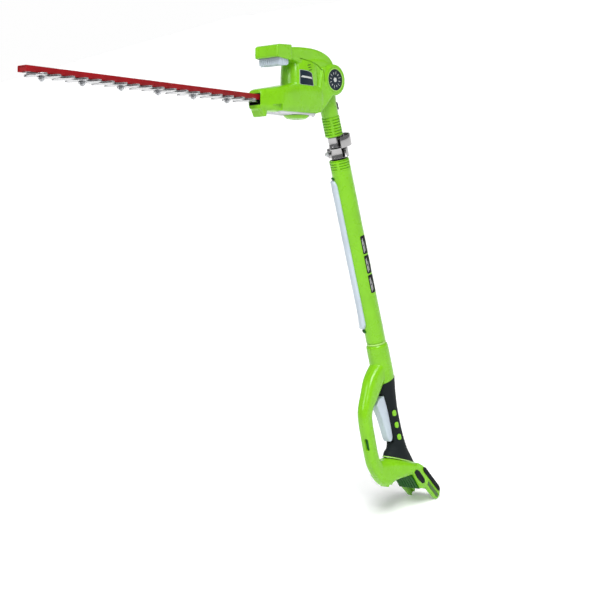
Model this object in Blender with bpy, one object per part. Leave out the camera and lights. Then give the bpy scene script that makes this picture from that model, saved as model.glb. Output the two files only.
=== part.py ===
"""Pole hedge trimmer: battery handle, telescoping pole, tilting motor head and a double-sided blade.

Lengths are given in millimetres and scaled to metres as each object is made. +Z runs up the pole, -X is the
side that the blade points to, and the object is symmetric about Y = 0 apart from its clamp and its buttons.
"""

import math

import bmesh
import bpy
from mathutils import Matrix, Vector

MM = 0.001  # metres in a millimetre
GAP = 0.3  # clearance that touching pieces keep
WALL = 2.6  # moulded shell wall

# Pole and telescoping tube
POLE_RADIUS = 19.5
POLE_BORE = 16.6
POLE_BOTTOM = -202
POLE_TOP = 174
SPIGOT_RADIUS = 18.0
SPIGOT_LENGTH = 35
RIDGE_PITCH = 5.0
RIDGE_DEPTH = 1.3
TUBE_RADIUS = 11.0
TUBE_BOTTOM = -150
COLLET_WALL = 1.0
PAD_BOTTOM = -170
PAD_TOP = 136
PAD_THICK = 5.5
PAD_ANGLE = 138  # degrees round from the rear, as is the label's
LABEL_ANGLE = 274

# Quick-release clamp
CLAMP_LOW = 176.5
CLAMP_MID = 197.5
CLAMP_HIGH = 218.5
BAND_WALL = 1.2
CLAMP_PIVOT = (16.0, 17.0)

# Neck and tilting head
NECK_BOTTOM = 219.5
NECK_RADIUS = 17.0
PIVOT_HEIGHT = 327.4
REST_BEND = 72  # degrees between the pole and the blade
KNUCKLE_RADIUS = 27.5
KNUCKLE_HALF = 18.2
HUB_RADIUS = 29.5
HUB_HALF = 31.5
INDEX_STEP = 18  # degrees between the stops of the head

# Head, measured from the pivot: `along` towards the blade's tip, `up` away from the blade's plane
BODY_HALF = 32.0
NOSE_END = 187
NOSE_HALF = 16.5
GEAR_ALONG = 88.0
GEAR_MODULE = 1.6
GEAR_TEETH = 32
PINION_TEETH = 8
BLADE_UP = -52.5  # upper face of the upper blade
BLADE_THICK = 1.9
BLADE_ROOT = 206
BLADE_STROKE = 6.0  # each way from the middle
TOOTH_COUNT = 18
TOOTH_PITCH = 27.6
TOOTH_REACH = 26.0
BLADE_BODY = 10.0
CHANNEL_TIP = 711.0
BOLT_COUNT = 6
BOLT_FIRST = 258
BOLT_PITCH = 82.8

# Handle
GRIP_SKIN = 2.4  # thickness of the soft overmould
TRIGGER_PIN = (-12.5, 0, -316)
DOCK_HALF = 36.5
DOCK_WALL = 5.0
DOCK_ANGLE = 29.7  # degrees between the battery rails and the pole
DOCK_CORNER = (31.0, -486.0)  # top of the cradle's rear face


# ---------------------------------------------------------------- helpers


def clear_scene():
    for obj in list(bpy.data.objects):
        bpy.data.objects.remove(obj, do_unlink=True)


def look(name, colour, roughness, metallic=0.0):
    """A Principled material."""
    made = bpy.data.materials.new(name)
    made.use_nodes = True
    shader = made.node_tree.nodes["Principled BSDF"]
    shader.inputs["Base Color"].default_value = (*colour, 1.0)
    shader.inputs["Roughness"].default_value = roughness
    shader.inputs["Metallic"].default_value = metallic
    made.diffuse_color = (*colour, 1.0)
    return made


def add_object(name, form, finish, parent=None, at=(0, 0, 0)):
    """Makes a named object from a bmesh in millimetres, with its origin at a point of its parent's frame."""
    bmesh.ops.translate(form, verts=form.verts, vec=-Vector(at))
    bmesh.ops.scale(form, verts=form.verts, vec=(MM, MM, MM))
    bmesh.ops.recalc_face_normals(form, faces=form.faces)
    mesh = bpy.data.meshes.new(name)
    form.to_mesh(mesh)
    form.free()
    mesh.shade_smooth()
    mesh.set_sharp_from_angle(angle=math.radians(35))
    obj = bpy.data.objects.new(name, mesh)
    bpy.context.scene.collection.objects.link(obj)
    if finish:
        mesh.materials.append(look(name + "_finish", *finish))
    obj.parent = parent
    obj.location = Vector(at) * MM
    return obj


def add_guide(name, form, parent=None):
    """A cutter, or a form that others are joined with, which isn't a piece itself."""
    obj = add_object(name, form, None, parent)
    obj.hide_render = True
    obj.display_type = "WIRE"
    return obj


def add_boolean(obj, operation, guides):
    """Joins or cuts an object with several guides at once."""
    group = bpy.data.collections.new(obj.name + "_" + operation.lower())
    for guide in guides:
        group.objects.link(guide)
    step = obj.modifiers.new(operation.title(), "BOOLEAN")
    step.operation = operation
    step.operand_type = "COLLECTION"
    step.collection = group
    step.solver = "EXACT"
    return obj


def loft(rings, closed=False):
    """Skins rings of equal length, with flat ends unless the row of rings closes on itself."""
    form = bmesh.new()
    rows = [[form.verts.new(point) for point in ring] for ring in rings]
    pairs = list(zip(rows, rows[1:]))
    if closed:
        pairs.append((rows[-1], rows[0]))
    for low, high in pairs:
        for i in range(len(low)):
            j = (i + 1) % len(low)
            form.faces.new((low[i], low[j], high[j], high[i]))
    if not closed:
        form.faces.new(rows[0])
        form.faces.new(rows[-1])
    return form


def prism(outline, low, high, axis="Y"):
    """Extrudes an outline: (x, z) along Y, (x, y) along Z or (y, z) along X."""
    place = {
        "X": lambda u, v, level: (level, u, v),
        "Y": lambda u, v, level: (u, level, v),
        "Z": lambda u, v, level: (u, v, level),
    }[axis]
    return loft([[place(u, v, level) for u, v in outline] for level in (low, high)])


def box(low, high):
    (x0, y0, z0), (x1, y1, z1) = low, high
    return prism([(x0, y0), (x1, y0), (x1, y1), (x0, y1)], z0, z1, "Z")


def turned(profile, segments=24, ring=False):
    """Turns a profile of (radius, height) about Z; a ring's profile closes on itself."""
    form = bmesh.new()
    rows = []
    for radius, height in profile:
        if radius < 1e-6:
            rows.append([form.verts.new((0, 0, height))] * segments)
            continue
        turn = [2 * math.pi * i / segments for i in range(segments)]
        rows.append([form.verts.new((radius * math.cos(t), radius * math.sin(t), height)) for t in turn])
    pairs = list(zip(rows, rows[1:]))
    if ring:
        pairs.append((rows[-1], rows[0]))
    for low, high in pairs:
        for i in range(segments):
            j = (i + 1) % segments
            corners = list(dict.fromkeys((low[i], low[j], high[j], high[i])))
            form.faces.new(corners)
    if not ring:
        for row in (rows[0], rows[-1]):
            if row[0] is not row[1]:
                form.faces.new(row)
    return form


def cylinder(radius, low, high, segments=24):
    return turned([(radius, low), (radius, high)], segments)


def aim(form, axis, at=(0, 0, 0)):
    """Turns a form made about Z to the X or Y axis, then moves it."""
    turns = {"X": Matrix.Rotation(math.pi / 2, 4, "Y"), "Y": Matrix.Rotation(-math.pi / 2, 4, "X")}
    if axis in turns:
        bmesh.ops.transform(form, matrix=turns[axis], verts=form.verts)
    bmesh.ops.translate(form, verts=form.verts, vec=at)
    return form


def oval(centre, first, second, count=20, power=2.0):
    """A ring about a centre, between two half-axis vectors; a power over 2 squares it off."""
    centre, first, second = Vector(centre), Vector(first), Vector(second)
    ring = []
    for i in range(count):
        turn = 2 * math.pi * (i + 0.5) / count
        c, s = math.cos(turn), math.sin(turn)
        u = math.copysign(abs(c) ** (2 / power), c)
        v = math.copysign(abs(s) ** (2 / power), s)
        ring.append(centre + first * u + second * v)
    return ring


def bar(stations, count=20, power=2.0, shrink=0.0):
    """A bar in the XZ plane through (x, z, half depth, half width) stations, square to its own path."""
    rings = []
    for i, (x, z, depth, width) in enumerate(stations):
        before = stations[max(i - 1, 0)]
        after = stations[min(i + 1, len(stations) - 1)]
        way = Vector((after[0] - before[0], 0, after[1] - before[1])).normalized()
        across = Vector((way.z, 0, -way.x))
        rings.append(oval((x, 0, z), across * (depth - shrink), (0, width - shrink, 0), count, power))
    return loft(rings)


def upright(stations, count=20, power=2.0, shrink=0.0):
    """A column of level ovals through (x, z, half depth, half width, slope) stations."""
    rings = []
    for x, z, depth, width, slope in stations:
        first = Vector((1, 0, slope)) * (depth - shrink)
        rings.append(oval((x, 0, z), first, (0, width - shrink, 0), count, power))
    return loft(rings)


def rounded(low_u, low_v, high_u, high_v, radius, steps=3):
    """A rectangle's outline with round corners."""
    outline = []
    corners = (
        (high_u - radius, high_v - radius, 0),
        (low_u + radius, high_v - radius, 90),
        (low_u + radius, low_v + radius, 180),
        (high_u - radius, low_v + radius, 270),
    )
    for u, v, start in corners:
        for i in range(steps + 1):
            turn = math.radians(start + 90 * i / steps)
            outline.append((u + radius * math.cos(turn), v + radius * math.sin(turn)))
    return outline


def half_space(side):
    """What a shell half loses: everything past the parting plane."""
    reach = 900
    if side > 0:
        return box((-reach, -reach, -reach), (reach, GAP / 2, reach))
    return box((-reach, -GAP / 2, -reach), (reach, reach, reach))


def add_tube(name, points, radius, finish, parent=None, sides=6):
    """A round cable or wire along points, as a curve with a bevel and filled ends."""
    curve = bpy.data.curves.new(name, "CURVE")
    curve.dimensions = "3D"
    curve.bevel_depth = radius * MM
    curve.bevel_resolution = max(sides // 2 - 2, 0)
    curve.use_fill_caps = True
    spline = curve.splines.new("POLY")
    spline.points.add(len(points) - 1)
    for knot, point in zip(spline.points, points):
        knot.co = (*(Vector(point) * MM), 1)
    obj = bpy.data.objects.new(name, curve)
    bpy.context.scene.collection.objects.link(obj)
    curve.materials.append(look(name + "_finish", *finish))
    obj.parent = parent
    return obj


# ---------------------------------------------------------------- finishes: colour, roughness, metallic

GREEN = ((0.29, 0.72, 0.015), 0.32)
PALE_GREEN = ((0.36, 0.67, 0.11), 0.4)
GREY_SOFT = ((0.47, 0.56, 0.65), 0.6)
BLACK_SOFT = ((0.012, 0.016, 0.015), 0.55)
BLACK_HARD = ((0.02, 0.02, 0.022), 0.35)
DARK_GREEN = ((0.02, 0.16, 0.02), 0.45)
SLATE = ((0.03, 0.05, 0.06), 0.35)
CHROME = ((0.8, 0.8, 0.82), 0.12, 1.0)
STEEL = ((0.55, 0.56, 0.58), 0.28, 1.0)
ALUMINIUM = ((0.72, 0.73, 0.75), 0.35, 1.0)
BRASS = ((0.8, 0.58, 0.25), 0.3, 1.0)
RED = ((0.42, 0.02, 0.025), 0.38)
BOARD = ((0.02, 0.16, 0.06), 0.5)
COPPER = ((0.7, 0.35, 0.2), 0.35, 1.0)


# ---------------------------------------------------------------- pole


def ridges(bottom, count, radius, depth):
    """The outside of a ribbed stretch, as (radius, height) from its bottom up."""
    points = []
    for i in range(count):
        start = bottom + i * RIDGE_PITCH
        points += [
            (radius, start),
            (radius, start + RIDGE_PITCH * 0.55),
            (radius - depth, start + RIDGE_PITCH * 0.8),
        ]
    return points


def make_outer_pole():
    """The thick green tube, ribbed below the clamp, with a spigot that plugs into the handle."""
    outside = [(SPIGOT_RADIUS, POLE_BOTTOM - SPIGOT_LENGTH), (SPIGOT_RADIUS, POLE_BOTTOM)]
    outside += [(POLE_RADIUS - 1, POLE_BOTTOM), (POLE_RADIUS, POLE_BOTTOM + 1)]
    outside += ridges(POLE_TOP - 4 * RIDGE_PITCH - 1, 4, POLE_RADIUS - 0.3, RIDGE_DEPTH)
    outside += [(POLE_RADIUS - 0.8, POLE_TOP - 0.8), (POLE_RADIUS - 1.6, POLE_TOP)]
    inside = [(POLE_BORE, POLE_TOP), (POLE_BORE, POLE_BOTTOM - SPIGOT_LENGTH)]
    add_object("outer_pole", turned(outside + inside, 24, ring=True), GREEN)


def wrapped_plate(bottom, top, thick, middle, half_angle, end_round, across, edge, flare=0.0):
    """A plate bent round the pole about its `middle` direction in degrees, round at both ends.

    `edge` is the share of its thickness left at its long edges, and `flare` what it gains at its foot."""
    levels = []
    steps = 3
    for i in range(steps + 1):
        share = math.sin(math.pi / 2 * i / steps)
        rise = end_round * (1 - math.cos(math.pi / 2 * i / steps))
        levels.append((bottom + rise, 0.25 + 0.75 * share))
    upper = [(top - (level - bottom), share) for level, share in reversed(levels)]
    form = bmesh.new()
    skins = []
    for skin in (0, 1):
        rows = []
        for level, share in levels + upper:
            row = []
            for j in range(-across, across + 1):
                turn = math.radians(middle + half_angle * share * j / across)
                depth = thick * (edge + (1 - edge) * math.sqrt(max(0, 1 - (j / across) ** 4)))
                depth *= 1 + flare * max(0, 1 - (level - bottom) / 40) ** 2
                radius = POLE_RADIUS + GAP + skin * depth
                row.append(form.verts.new((radius * math.cos(turn), radius * math.sin(turn), level)))
            rows.append(row)
        skins.append(rows)
    inside, outside = skins
    for i in range(len(inside) - 1):
        for j in range(2 * across):
            form.faces.new((inside[i][j], inside[i][j + 1], inside[i + 1][j + 1], inside[i + 1][j]))
            form.faces.new((outside[i][j], outside[i + 1][j], outside[i + 1][j + 1], outside[i][j + 1]))
        for j in (0, 2 * across):
            form.faces.new((inside[i][j], inside[i + 1][j], outside[i + 1][j], outside[i][j]))
    for i in (0, len(inside) - 1):
        for j in range(2 * across):
            form.faces.new((inside[i][j], inside[i][j + 1], outside[i][j + 1], outside[i][j]))
    return form


def make_pole_trim():
    """The soft hand pad and, across the pole from it, the plain label."""
    pad = wrapped_plate(PAD_BOTTOM, PAD_TOP, PAD_THICK, PAD_ANGLE, 42, 16, 4, 0.35, 0.5)
    add_object("pole_pad", pad, GREY_SOFT)
    label = wrapped_plate(-93, 24, 0.4, LABEL_ANGLE, 21, 0.6, 2, 1.0)
    add_object("pole_label", label, BLACK_HARD)


def make_collet_bush():
    """Guides the telescoping tube in the pole and is squeezed by the clamp above it."""
    inner = TUBE_RADIUS + GAP
    outer = POLE_BORE - GAP
    neck = inner + COLLET_WALL
    profile = [(inner, 104), (outer, 104), (outer, POLE_TOP - 1), (neck, CLAMP_LOW - 1.5), (neck, CLAMP_HIGH)]
    profile += [(inner, CLAMP_HIGH)]
    add_object("collet_bush", turned(profile, 20, ring=True), BLACK_HARD)


def make_coiled_cable():
    """The power cable, coiled inside the telescoping tube so that it can stretch."""
    turns = 16
    per_turn = 8
    coil_radius = 5.6
    bottom, top = -120, 90
    points = [(0, 0, POLE_BOTTOM - 45), (0, 0, bottom - 12), (coil_radius * 0.6, 0, bottom - 4)]
    for i in range(turns * per_turn + 1):
        turn = 2 * math.pi * i / per_turn
        level = bottom + (top - bottom) * i / (turns * per_turn)
        points.append((coil_radius * math.cos(turn), coil_radius * math.sin(turn), level))
    points += [(coil_radius * 0.6, 0, top + 4), (0, 0, top + 12), (0, 0, 270)]
    add_tube("coiled_cable", points, 1.7, BLACK_SOFT)


def make_pole_ring():
    """The pale ring that seals the pole against the handle's mouth."""
    inner = SPIGOT_RADIUS + GAP
    profile = [(inner, POLE_BOTTOM - 3), (POLE_RADIUS + 0.4, POLE_BOTTOM - 3)]
    profile += [(POLE_RADIUS + 0.4, POLE_BOTTOM - GAP), (inner, POLE_BOTTOM - GAP)]
    add_object("pole_ring", turned(profile, 24, ring=True), PALE_GREEN)


# ---------------------------------------------------------------- clamp


def make_clamp_bands():
    """Two split bands round the collet; the lower one has the ears that the eye bolt draws together."""
    inner = TUBE_RADIUS + GAP + COLLET_WALL + GAP
    outer = inner + BAND_WALL
    slit = 4.0
    bolt_y = CLAMP_PIVOT[1]
    for name, low, high in (
        ("clamp_band_lower", CLAMP_LOW, CLAMP_MID - 1),
        ("clamp_band_upper", CLAMP_MID + 1, CLAMP_HIGH),
    ):
        ring = add_object(name, turned([(inner, low), (outer, low), (outer, high), (inner, high)], 24, True), CHROME)
        cuts = [add_guide(name + "_slit", box((-slit / 2, 0, low - 1), (slit / 2, 30, high + 1)))]
        if name == "clamp_band_lower":
            ears = []
            for side in (-1, 1):
                near, far = sorted((side * (slit / 2 + 0.02), side * (slit / 2 + 2.2)))
                ear = box((near, inner + 0.4, low + 0.5), (far, bolt_y + 5, high - 0.5))
                ears.append(add_guide(name + "_ear", ear))
            hole = aim(cylinder(2.3, -12, 12, 12), "X", (0, bolt_y, (low + high) / 2))
            add_boolean(ring, "UNION", ears)
            cuts.append(add_guide(name + "_hole", hole))
        add_boolean(ring, "DIFFERENCE", cuts)


def make_clamp_bolt():
    """Eye bolt through the ears, its nut, and the pin that the lever turns on."""
    x, y = CLAMP_PIVOT
    level = (CLAMP_LOW + CLAMP_MID - 1) / 2
    eye = turned([(2.8, level - 4), (5.0, level - 4), (5.0, level + 4), (2.8, level + 4)], 16, True)
    bolt = add_object("clamp_bolt", aim(eye, "Z", (x, y, 0)), STEEL)
    shank = aim(cylinder(2.0, -17, x - 3.6, 12), "X", (0, y, level))
    add_boolean(bolt, "UNION", [add_guide("clamp_shank", shank)])
    nut = turned([(2.3, -13), (4.6, -13), (4.9, -12.4), (4.9, -8.1), (4.6, -7.5), (2.3, -7.5)], 6, True)
    add_object("clamp_nut", aim(nut, "X", (0, y, level)), STEEL)
    pin = turned([(0, CLAMP_LOW - 1.5), (3.4, CLAMP_LOW - 1.5), (3.4, CLAMP_LOW - GAP), (2.4, CLAMP_LOW - GAP),
                  (2.4, CLAMP_HIGH + GAP), (3.4, CLAMP_HIGH + GAP), (3.4, CLAMP_HIGH + 1.5), (0, CLAMP_HIGH + 1.5)], 16)
    add_object("clamp_pin", aim(pin, "Z", (x, y, 0)), STEEL)


def arc_plate(radius_at, start, end, thick, steps):
    """The outline of a bent plate round the pole, between two angles in degrees."""
    turns = [math.radians(start + (end - start) * i / steps) for i in range(steps + 1)]
    outer = [(radius_at(t) * math.cos(t), radius_at(t) * math.sin(t)) for t in turns]
    inner = [((radius_at(t) - thick) * math.cos(t), (radius_at(t) - thick) * math.sin(t)) for t in reversed(turns)]
    return outer + inner


def upper_plate_radius(turn):
    """The lever's tall plate swells out from the pin, then flares at its free end."""
    degrees = math.degrees(turn)
    swell = min(1.0, (47 - degrees) / 50)
    flare = max(0.0, (-100 - degrees) / 20)
    return 24 + 6.5 * math.sin(swell * math.pi / 2) + 2.5 * flare**2


def lower_plate_radius(turn):
    """The lever's lower plate leaves the pin's boss and closes in on the pole."""
    degrees = math.degrees(turn)
    return 21.2 + 6.5 * max(0.0, (degrees + 20) / 61) ** 1.5


def make_clamp_lever():
    """Cam lever: a tall plate and a lower one that hug the pole, on a boss round the pin."""
    x, y = CLAMP_PIVOT
    boss = turned([(2.7, CLAMP_LOW), (5.6, CLAMP_LOW), (5.6, CLAMP_HIGH), (2.7, CLAMP_HIGH)], 16, True)
    lever = add_object("clamp_lever", aim(boss, "Z", (x, y, 0)), CHROME, at=(x, y, CLAMP_MID))
    tall = prism(arc_plate(upper_plate_radius, 38, -122, 1.5, 14), CLAMP_MID + 0.5, CLAMP_HIGH + 0.8, "Z")
    low = prism(arc_plate(lower_plate_radius, 41, -84, 1.5, 9), CLAMP_LOW + 0.6, CLAMP_MID + 1.5, "Z")
    bridge = prism(arc_plate(lambda turn: 25.5, 33, 8, 5.2, 4), CLAMP_MID - 2.5, CLAMP_MID + 4, "Z")
    add_boolean(lever, "UNION", [add_guide("lever_tall", tall), add_guide("lever_low", low),
                                 add_guide("lever_bridge", bridge)])
    level = (CLAMP_LOW + CLAMP_MID - 1) / 2
    room = aim(cylinder(6.4, level - 4 - GAP, level + 4 + GAP, 20), "Z", (x, y, 0))
    bore = aim(cylinder(2.7, CLAMP_LOW - 5, CLAMP_HIGH + 5, 16), "Z", (x, y, 0))
    add_boolean(lever, "DIFFERENCE", [add_guide("lever_room", room), add_guide("lever_bore", bore)])


# ---------------------------------------------------------------- neck


def make_inner_tube():
    """The thin tube that telescopes in the pole and carries the neck."""
    bore = TUBE_RADIUS - 1.5
    top = PIVOT_HEIGHT - 34
    profile = [(bore, TUBE_BOTTOM), (TUBE_RADIUS, TUBE_BOTTOM), (TUBE_RADIUS, top), (bore, top)]
    add_object("inner_tube", turned(profile, 24, ring=True), ALUMINIUM)


def neck_outside():
    """The ribbed foot of the neck and its smooth, widening upper part."""
    points = [(0, NECK_BOTTOM)]
    points += ridges(NECK_BOTTOM + 0.01, 8, NECK_RADIUS - 0.2, 1.5)[:-1]
    points += [(NECK_RADIUS - 1.2, NECK_BOTTOM + 41), (NECK_RADIUS - 0.4, PIVOT_HEIGHT - 45)]
    points += [(NECK_RADIUS + 0.7, PIVOT_HEIGHT - 30), (NECK_RADIUS + 0.7, PIVOT_HEIGHT - 12), (0, PIVOT_HEIGHT - 12)]
    return turned(points, 20)


def make_neck():
    """Two neck shells that end in the knuckle between the head's ears."""
    knuckle = aim(cylinder(KNUCKLE_RADIUS, -KNUCKLE_HALF, KNUCKLE_HALF, 28), "Y", (0, 0, PIVOT_HEIGHT))
    low, high = PIVOT_HEIGHT - 42, PIVOT_HEIGHT - 8
    web = loft([oval((0, 0, low), (16.8, 0, 0), (0, 16.8, 0), 24), oval((0, 0, high), (24, 0, 0), (0, 15.5, 0), 24)])
    joined = [add_guide("neck_knuckle", knuckle), add_guide("neck_web", web)]
    tube_room = cylinder(TUBE_RADIUS + GAP, NECK_BOTTOM - 5, PIVOT_HEIGHT - 34 + GAP, 24)
    core = aim(cylinder(KNUCKLE_RADIUS - 8, -15, 15, 24), "Y", (0, 0, PIVOT_HEIGHT))
    axle = aim(cylinder(4 + GAP, -30, 30, 16), "Y", (0, 0, PIVOT_HEIGHT))
    slot = aim(cylinder(KNUCKLE_RADIUS + 5, -3 - GAP, 3 + GAP, 24), "Y", (0, 0, PIVOT_HEIGHT))
    catch_room = box((10, -3.3, 265.7), (40, 3.3, 281.3))
    passage = cylinder(6, PIVOT_HEIGHT - 40, PIVOT_HEIGHT - 5, 12)
    cuts = [add_guide("neck_tube_room", tube_room), add_guide("neck_core", core), add_guide("neck_axle", axle),
            add_guide("neck_slot", slot), add_guide("neck_catch_room", catch_room),
            add_guide("neck_passage", passage)]
    for name, side in (("neck_shell_left", 1), ("neck_shell_right", -1)):
        shell = add_object(name, neck_outside(), GREEN)
        add_boolean(shell, "UNION", joined)
        add_boolean(shell, "DIFFERENCE", cuts + [add_guide(name + "_cut", half_space(side))])


def make_index_ring():
    """Steel disc held in the knuckle, notched at each stop of the head."""
    outer = KNUCKLE_RADIUS - 0.5
    notch = 1.6
    outline = []
    for i in range(360 // INDEX_STEP):
        for offset, radius in ((-2.0, outer), (-1.4, outer - notch), (1.4, outer - notch), (2.0, outer)):
            turn = math.radians(i * INDEX_STEP + offset)
            outline.append((radius * math.cos(turn), radius * math.sin(turn)))
    ring = add_object("index_ring", prism(outline, -3, 3, "Y"), STEEL, at=(0, 0, 0))
    ring.location = (0, 0, PIVOT_HEIGHT * MM)
    bore = aim(cylinder(4 + GAP, -8, 8, 16), "Y", (0, 0, PIVOT_HEIGHT))
    add_boolean(ring, "DIFFERENCE", [add_guide("index_bore", bore)])


def make_pivot():
    """The shouldered bolt that the head tilts on, screwed into the left ear."""
    bolt = turned([(0, -28), (7, -28), (7, -22.4), (4, -22.4), (4, 28), (0, 28)], 16)
    add_object("pivot_bolt", aim(bolt, "Y", (0, 0, PIVOT_HEIGHT)), STEEL)


def make_neck_catch():
    """Sprung black catch on the neck's rear that holds the tube."""
    outline = [(13.6, 266), (26, 266), (26.5, 268), (25.2, 281), (13.6, 281)]
    add_object("neck_catch", prism(outline, -3, 3), BLACK_HARD, at=(13.6, 0, 272))


# ---------------------------------------------------------------- head (its frame: x = -along, z = up)


def head_frame():
    """An empty on the head's pivot, turned so that -x runs along the blade."""
    frame = bpy.data.objects.new("head_frame", None)
    bpy.context.scene.collection.objects.link(frame)
    frame.location = (0, 0, PIVOT_HEIGHT * MM)
    frame.rotation_euler = (0, math.radians(90 - REST_BEND), 0)
    return frame


def body_sections(shrink=0.0):
    """The lower body and the nose: (along, top, bottom, half width, squareness) sections as one loft."""
    rings = []
    for along, top, bottom, half, power in (
        (30, -24, -58, 29, 4.0),
        (40, -14, -67, 31.5, 4.5),
        (70, -12, -68, BODY_HALF, 5.0),
        (110, -18, -69, BODY_HALF, 5.0),
        (140, -24, -70, 31, 4.5),
        (157, -27, -70, 26.5, 5.0),
        (173, -29.5, -71, 20, 5.0),
        (182, -31, -70, NOSE_HALF + 0.5, 5.0),
        (NOSE_END, -34, -68, NOSE_HALF - 1, 5.0),
    ):
        along = min(max(along, 30 + shrink), NOSE_END + (5 if shrink > 0 else 0))
        middle = (top + bottom) / 2
        height = (top - bottom) / 2 - shrink
        rings.append(oval((-along, 0, middle), (0, half - shrink, 0), (0, 0, height), 12 if shrink > 0 else 20, power))
    return loft(rings)


def tower_sections(shrink=0.0):
    """The motor housing that stands on the lower body."""
    rings = []
    for up, rear, front, half in ((-30, 30, 103, 28), (0, 29, 103, 28), (22, 32, 102, 27), (32, 38, 99, 24),
                                  (37, 44, 96, 20)):
        up = min(up, 37 - shrink)
        middle = -(rear + front) / 2
        count = 12 if shrink > 0 else 20
        rings.append(oval((middle, 0, up), ((front - rear) / 2 - shrink, 0, 0), (0, half - shrink, 0), count, 2.5))
    return loft(rings)


def spine_outline(shrink=0.0):
    """The spine from the hub over the tower to the beak, seen from the side."""
    top = [(-2, 33), (8, 42), (20, 47.5), (38, 52), (62, 54), (90, 53), (112, 50.5), (128, 49)]
    low = [(128, 31), (104, 28), (30, 20), (24, 14)]
    points = [(-along, up - shrink) for along, up in top]
    return points + [(-along, up + shrink) for along, up in low]


def beak_sections(shrink=0.0):
    """The T-shaped beak, a block that thins a little toward its front."""
    rings = []
    for side in (-29, -27.4, -10, 10, 27.4, 29):
        tuck = 1.6 if abs(side) > 28 else 0.0
        reach = side * (29 - shrink) / 29
        front = -157.5 + shrink + tuck
        rear = -119 - shrink - tuck
        corners = [(rear, 53.6), (rear - 2, 54), (front + 4, 51.8), (front, 48.5), (front, 30), (front + 2, 27.8),
                   (rear, 25)]
        rise = shrink + tuck
        rings.append([(x, reach, z - rise if z > 40 else z + rise) for x, z in corners])
    return loft(rings)


def nose_flange():
    """The lip under the nose, which leans back to its foot."""
    return prism([(-NOSE_END + 0.4, -60), (-NOSE_END + 12, -82), (-171, -82), (-168, -60)], -15, 15)


def neck_sweep():
    """The space that the neck and its flared root sweep between the ears over the head's whole tilt."""
    turn = math.radians(36)
    way = Vector((-math.cos(turn), math.sin(turn)))
    across = Vector((math.sin(turn), math.cos(turn)))
    upper = [tuple(across * side + way * reach) for side, reach in ((26.8, 0), (26.8, 8), (19.2, 35), (19.2, 130))]
    outline = [(19.2, -140), (19.2, -35), (26.8, -8), (26.8, 0)] + upper + [(-140, -140)]
    return prism([(-along, up) for along, up in outline], -19.2, 19.2)


def make_head_shells(frame):
    """Two shells: ears, tower, spine, beak, lower body and nose, hollow inside and open between the ears."""
    ear = aim(turned([(0, -HUB_HALF), (HUB_RADIUS - 3, -HUB_HALF), (HUB_RADIUS, -HUB_HALF + 3),
                      (HUB_RADIUS, HUB_HALF - 3), (HUB_RADIUS - 3, HUB_HALF), (0, HUB_HALF)], 36), "Y")
    panel = prism([(-4, 26), (-40, 20), (-44, -64), (-38, -66), (-20, -49), (-2, -29)], -30, 30)
    joined = [
        add_guide("head_tower", tower_sections(), frame),
        add_guide("head_spine", prism(spine_outline(), -19, 19), frame),
        add_guide("head_beak", beak_sections(), frame),
        add_guide("head_ears", ear, frame),
        add_guide("head_panel", panel, frame),
        add_guide("head_flange", nose_flange(), frame),
    ]
    knuckle_room = aim(cylinder(KNUCKLE_RADIUS + 0.8, -18.7, 18.7, 36), "Y")
    axle = aim(cylinder(4.4, -60, 60, 16), "Y")
    cuts = [
        add_guide("head_room_body", body_sections(WALL), frame),
        add_guide("head_room_tower", tower_sections(WALL), frame),
        add_guide("head_room_spine", prism(spine_outline(WALL), -16.4, 16.4), frame),
        add_guide("head_room_beak", beak_sections(WALL), frame),
        add_guide("head_room_panel", prism([(-31, 18), (-41, 18), (-41, -62), (-31, -54)], -27, 27), frame),
        add_guide("head_neck_sweep", neck_sweep(), frame),
        add_guide("head_knuckle_room", knuckle_room, frame),
        add_guide("head_axle", axle, frame),
        add_guide("head_slot", box((-220, -14.2, -61.2), (-150, 14.2, -39.8)), frame),
        add_guide("head_gear_opening", prism(rounded(-146, -24, -44, 24, 6), -76, -60, "Z"), frame),
        add_guide("head_lever_room", box((-154.4, -26.4, 10), (-124.6, 26.4, 35)), frame),
    ]
    for side in (-1, 1):
        low, high = sorted((side * 22.0, side * 60))
        seat = aim(cylinder(20.3, low, high, 32), "Y")
        cuts.append(add_guide("head_cap_seat", seat, frame))
    for name, side in (("head_shell_left", 1), ("head_shell_right", -1)):
        shell = add_object(name, body_sections(), GREEN, frame)
        add_boolean(shell, "UNION", joined)
        add_boolean(shell, "DIFFERENCE", cuts + [add_guide(name + "_cut", half_space(side), frame)])


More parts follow.
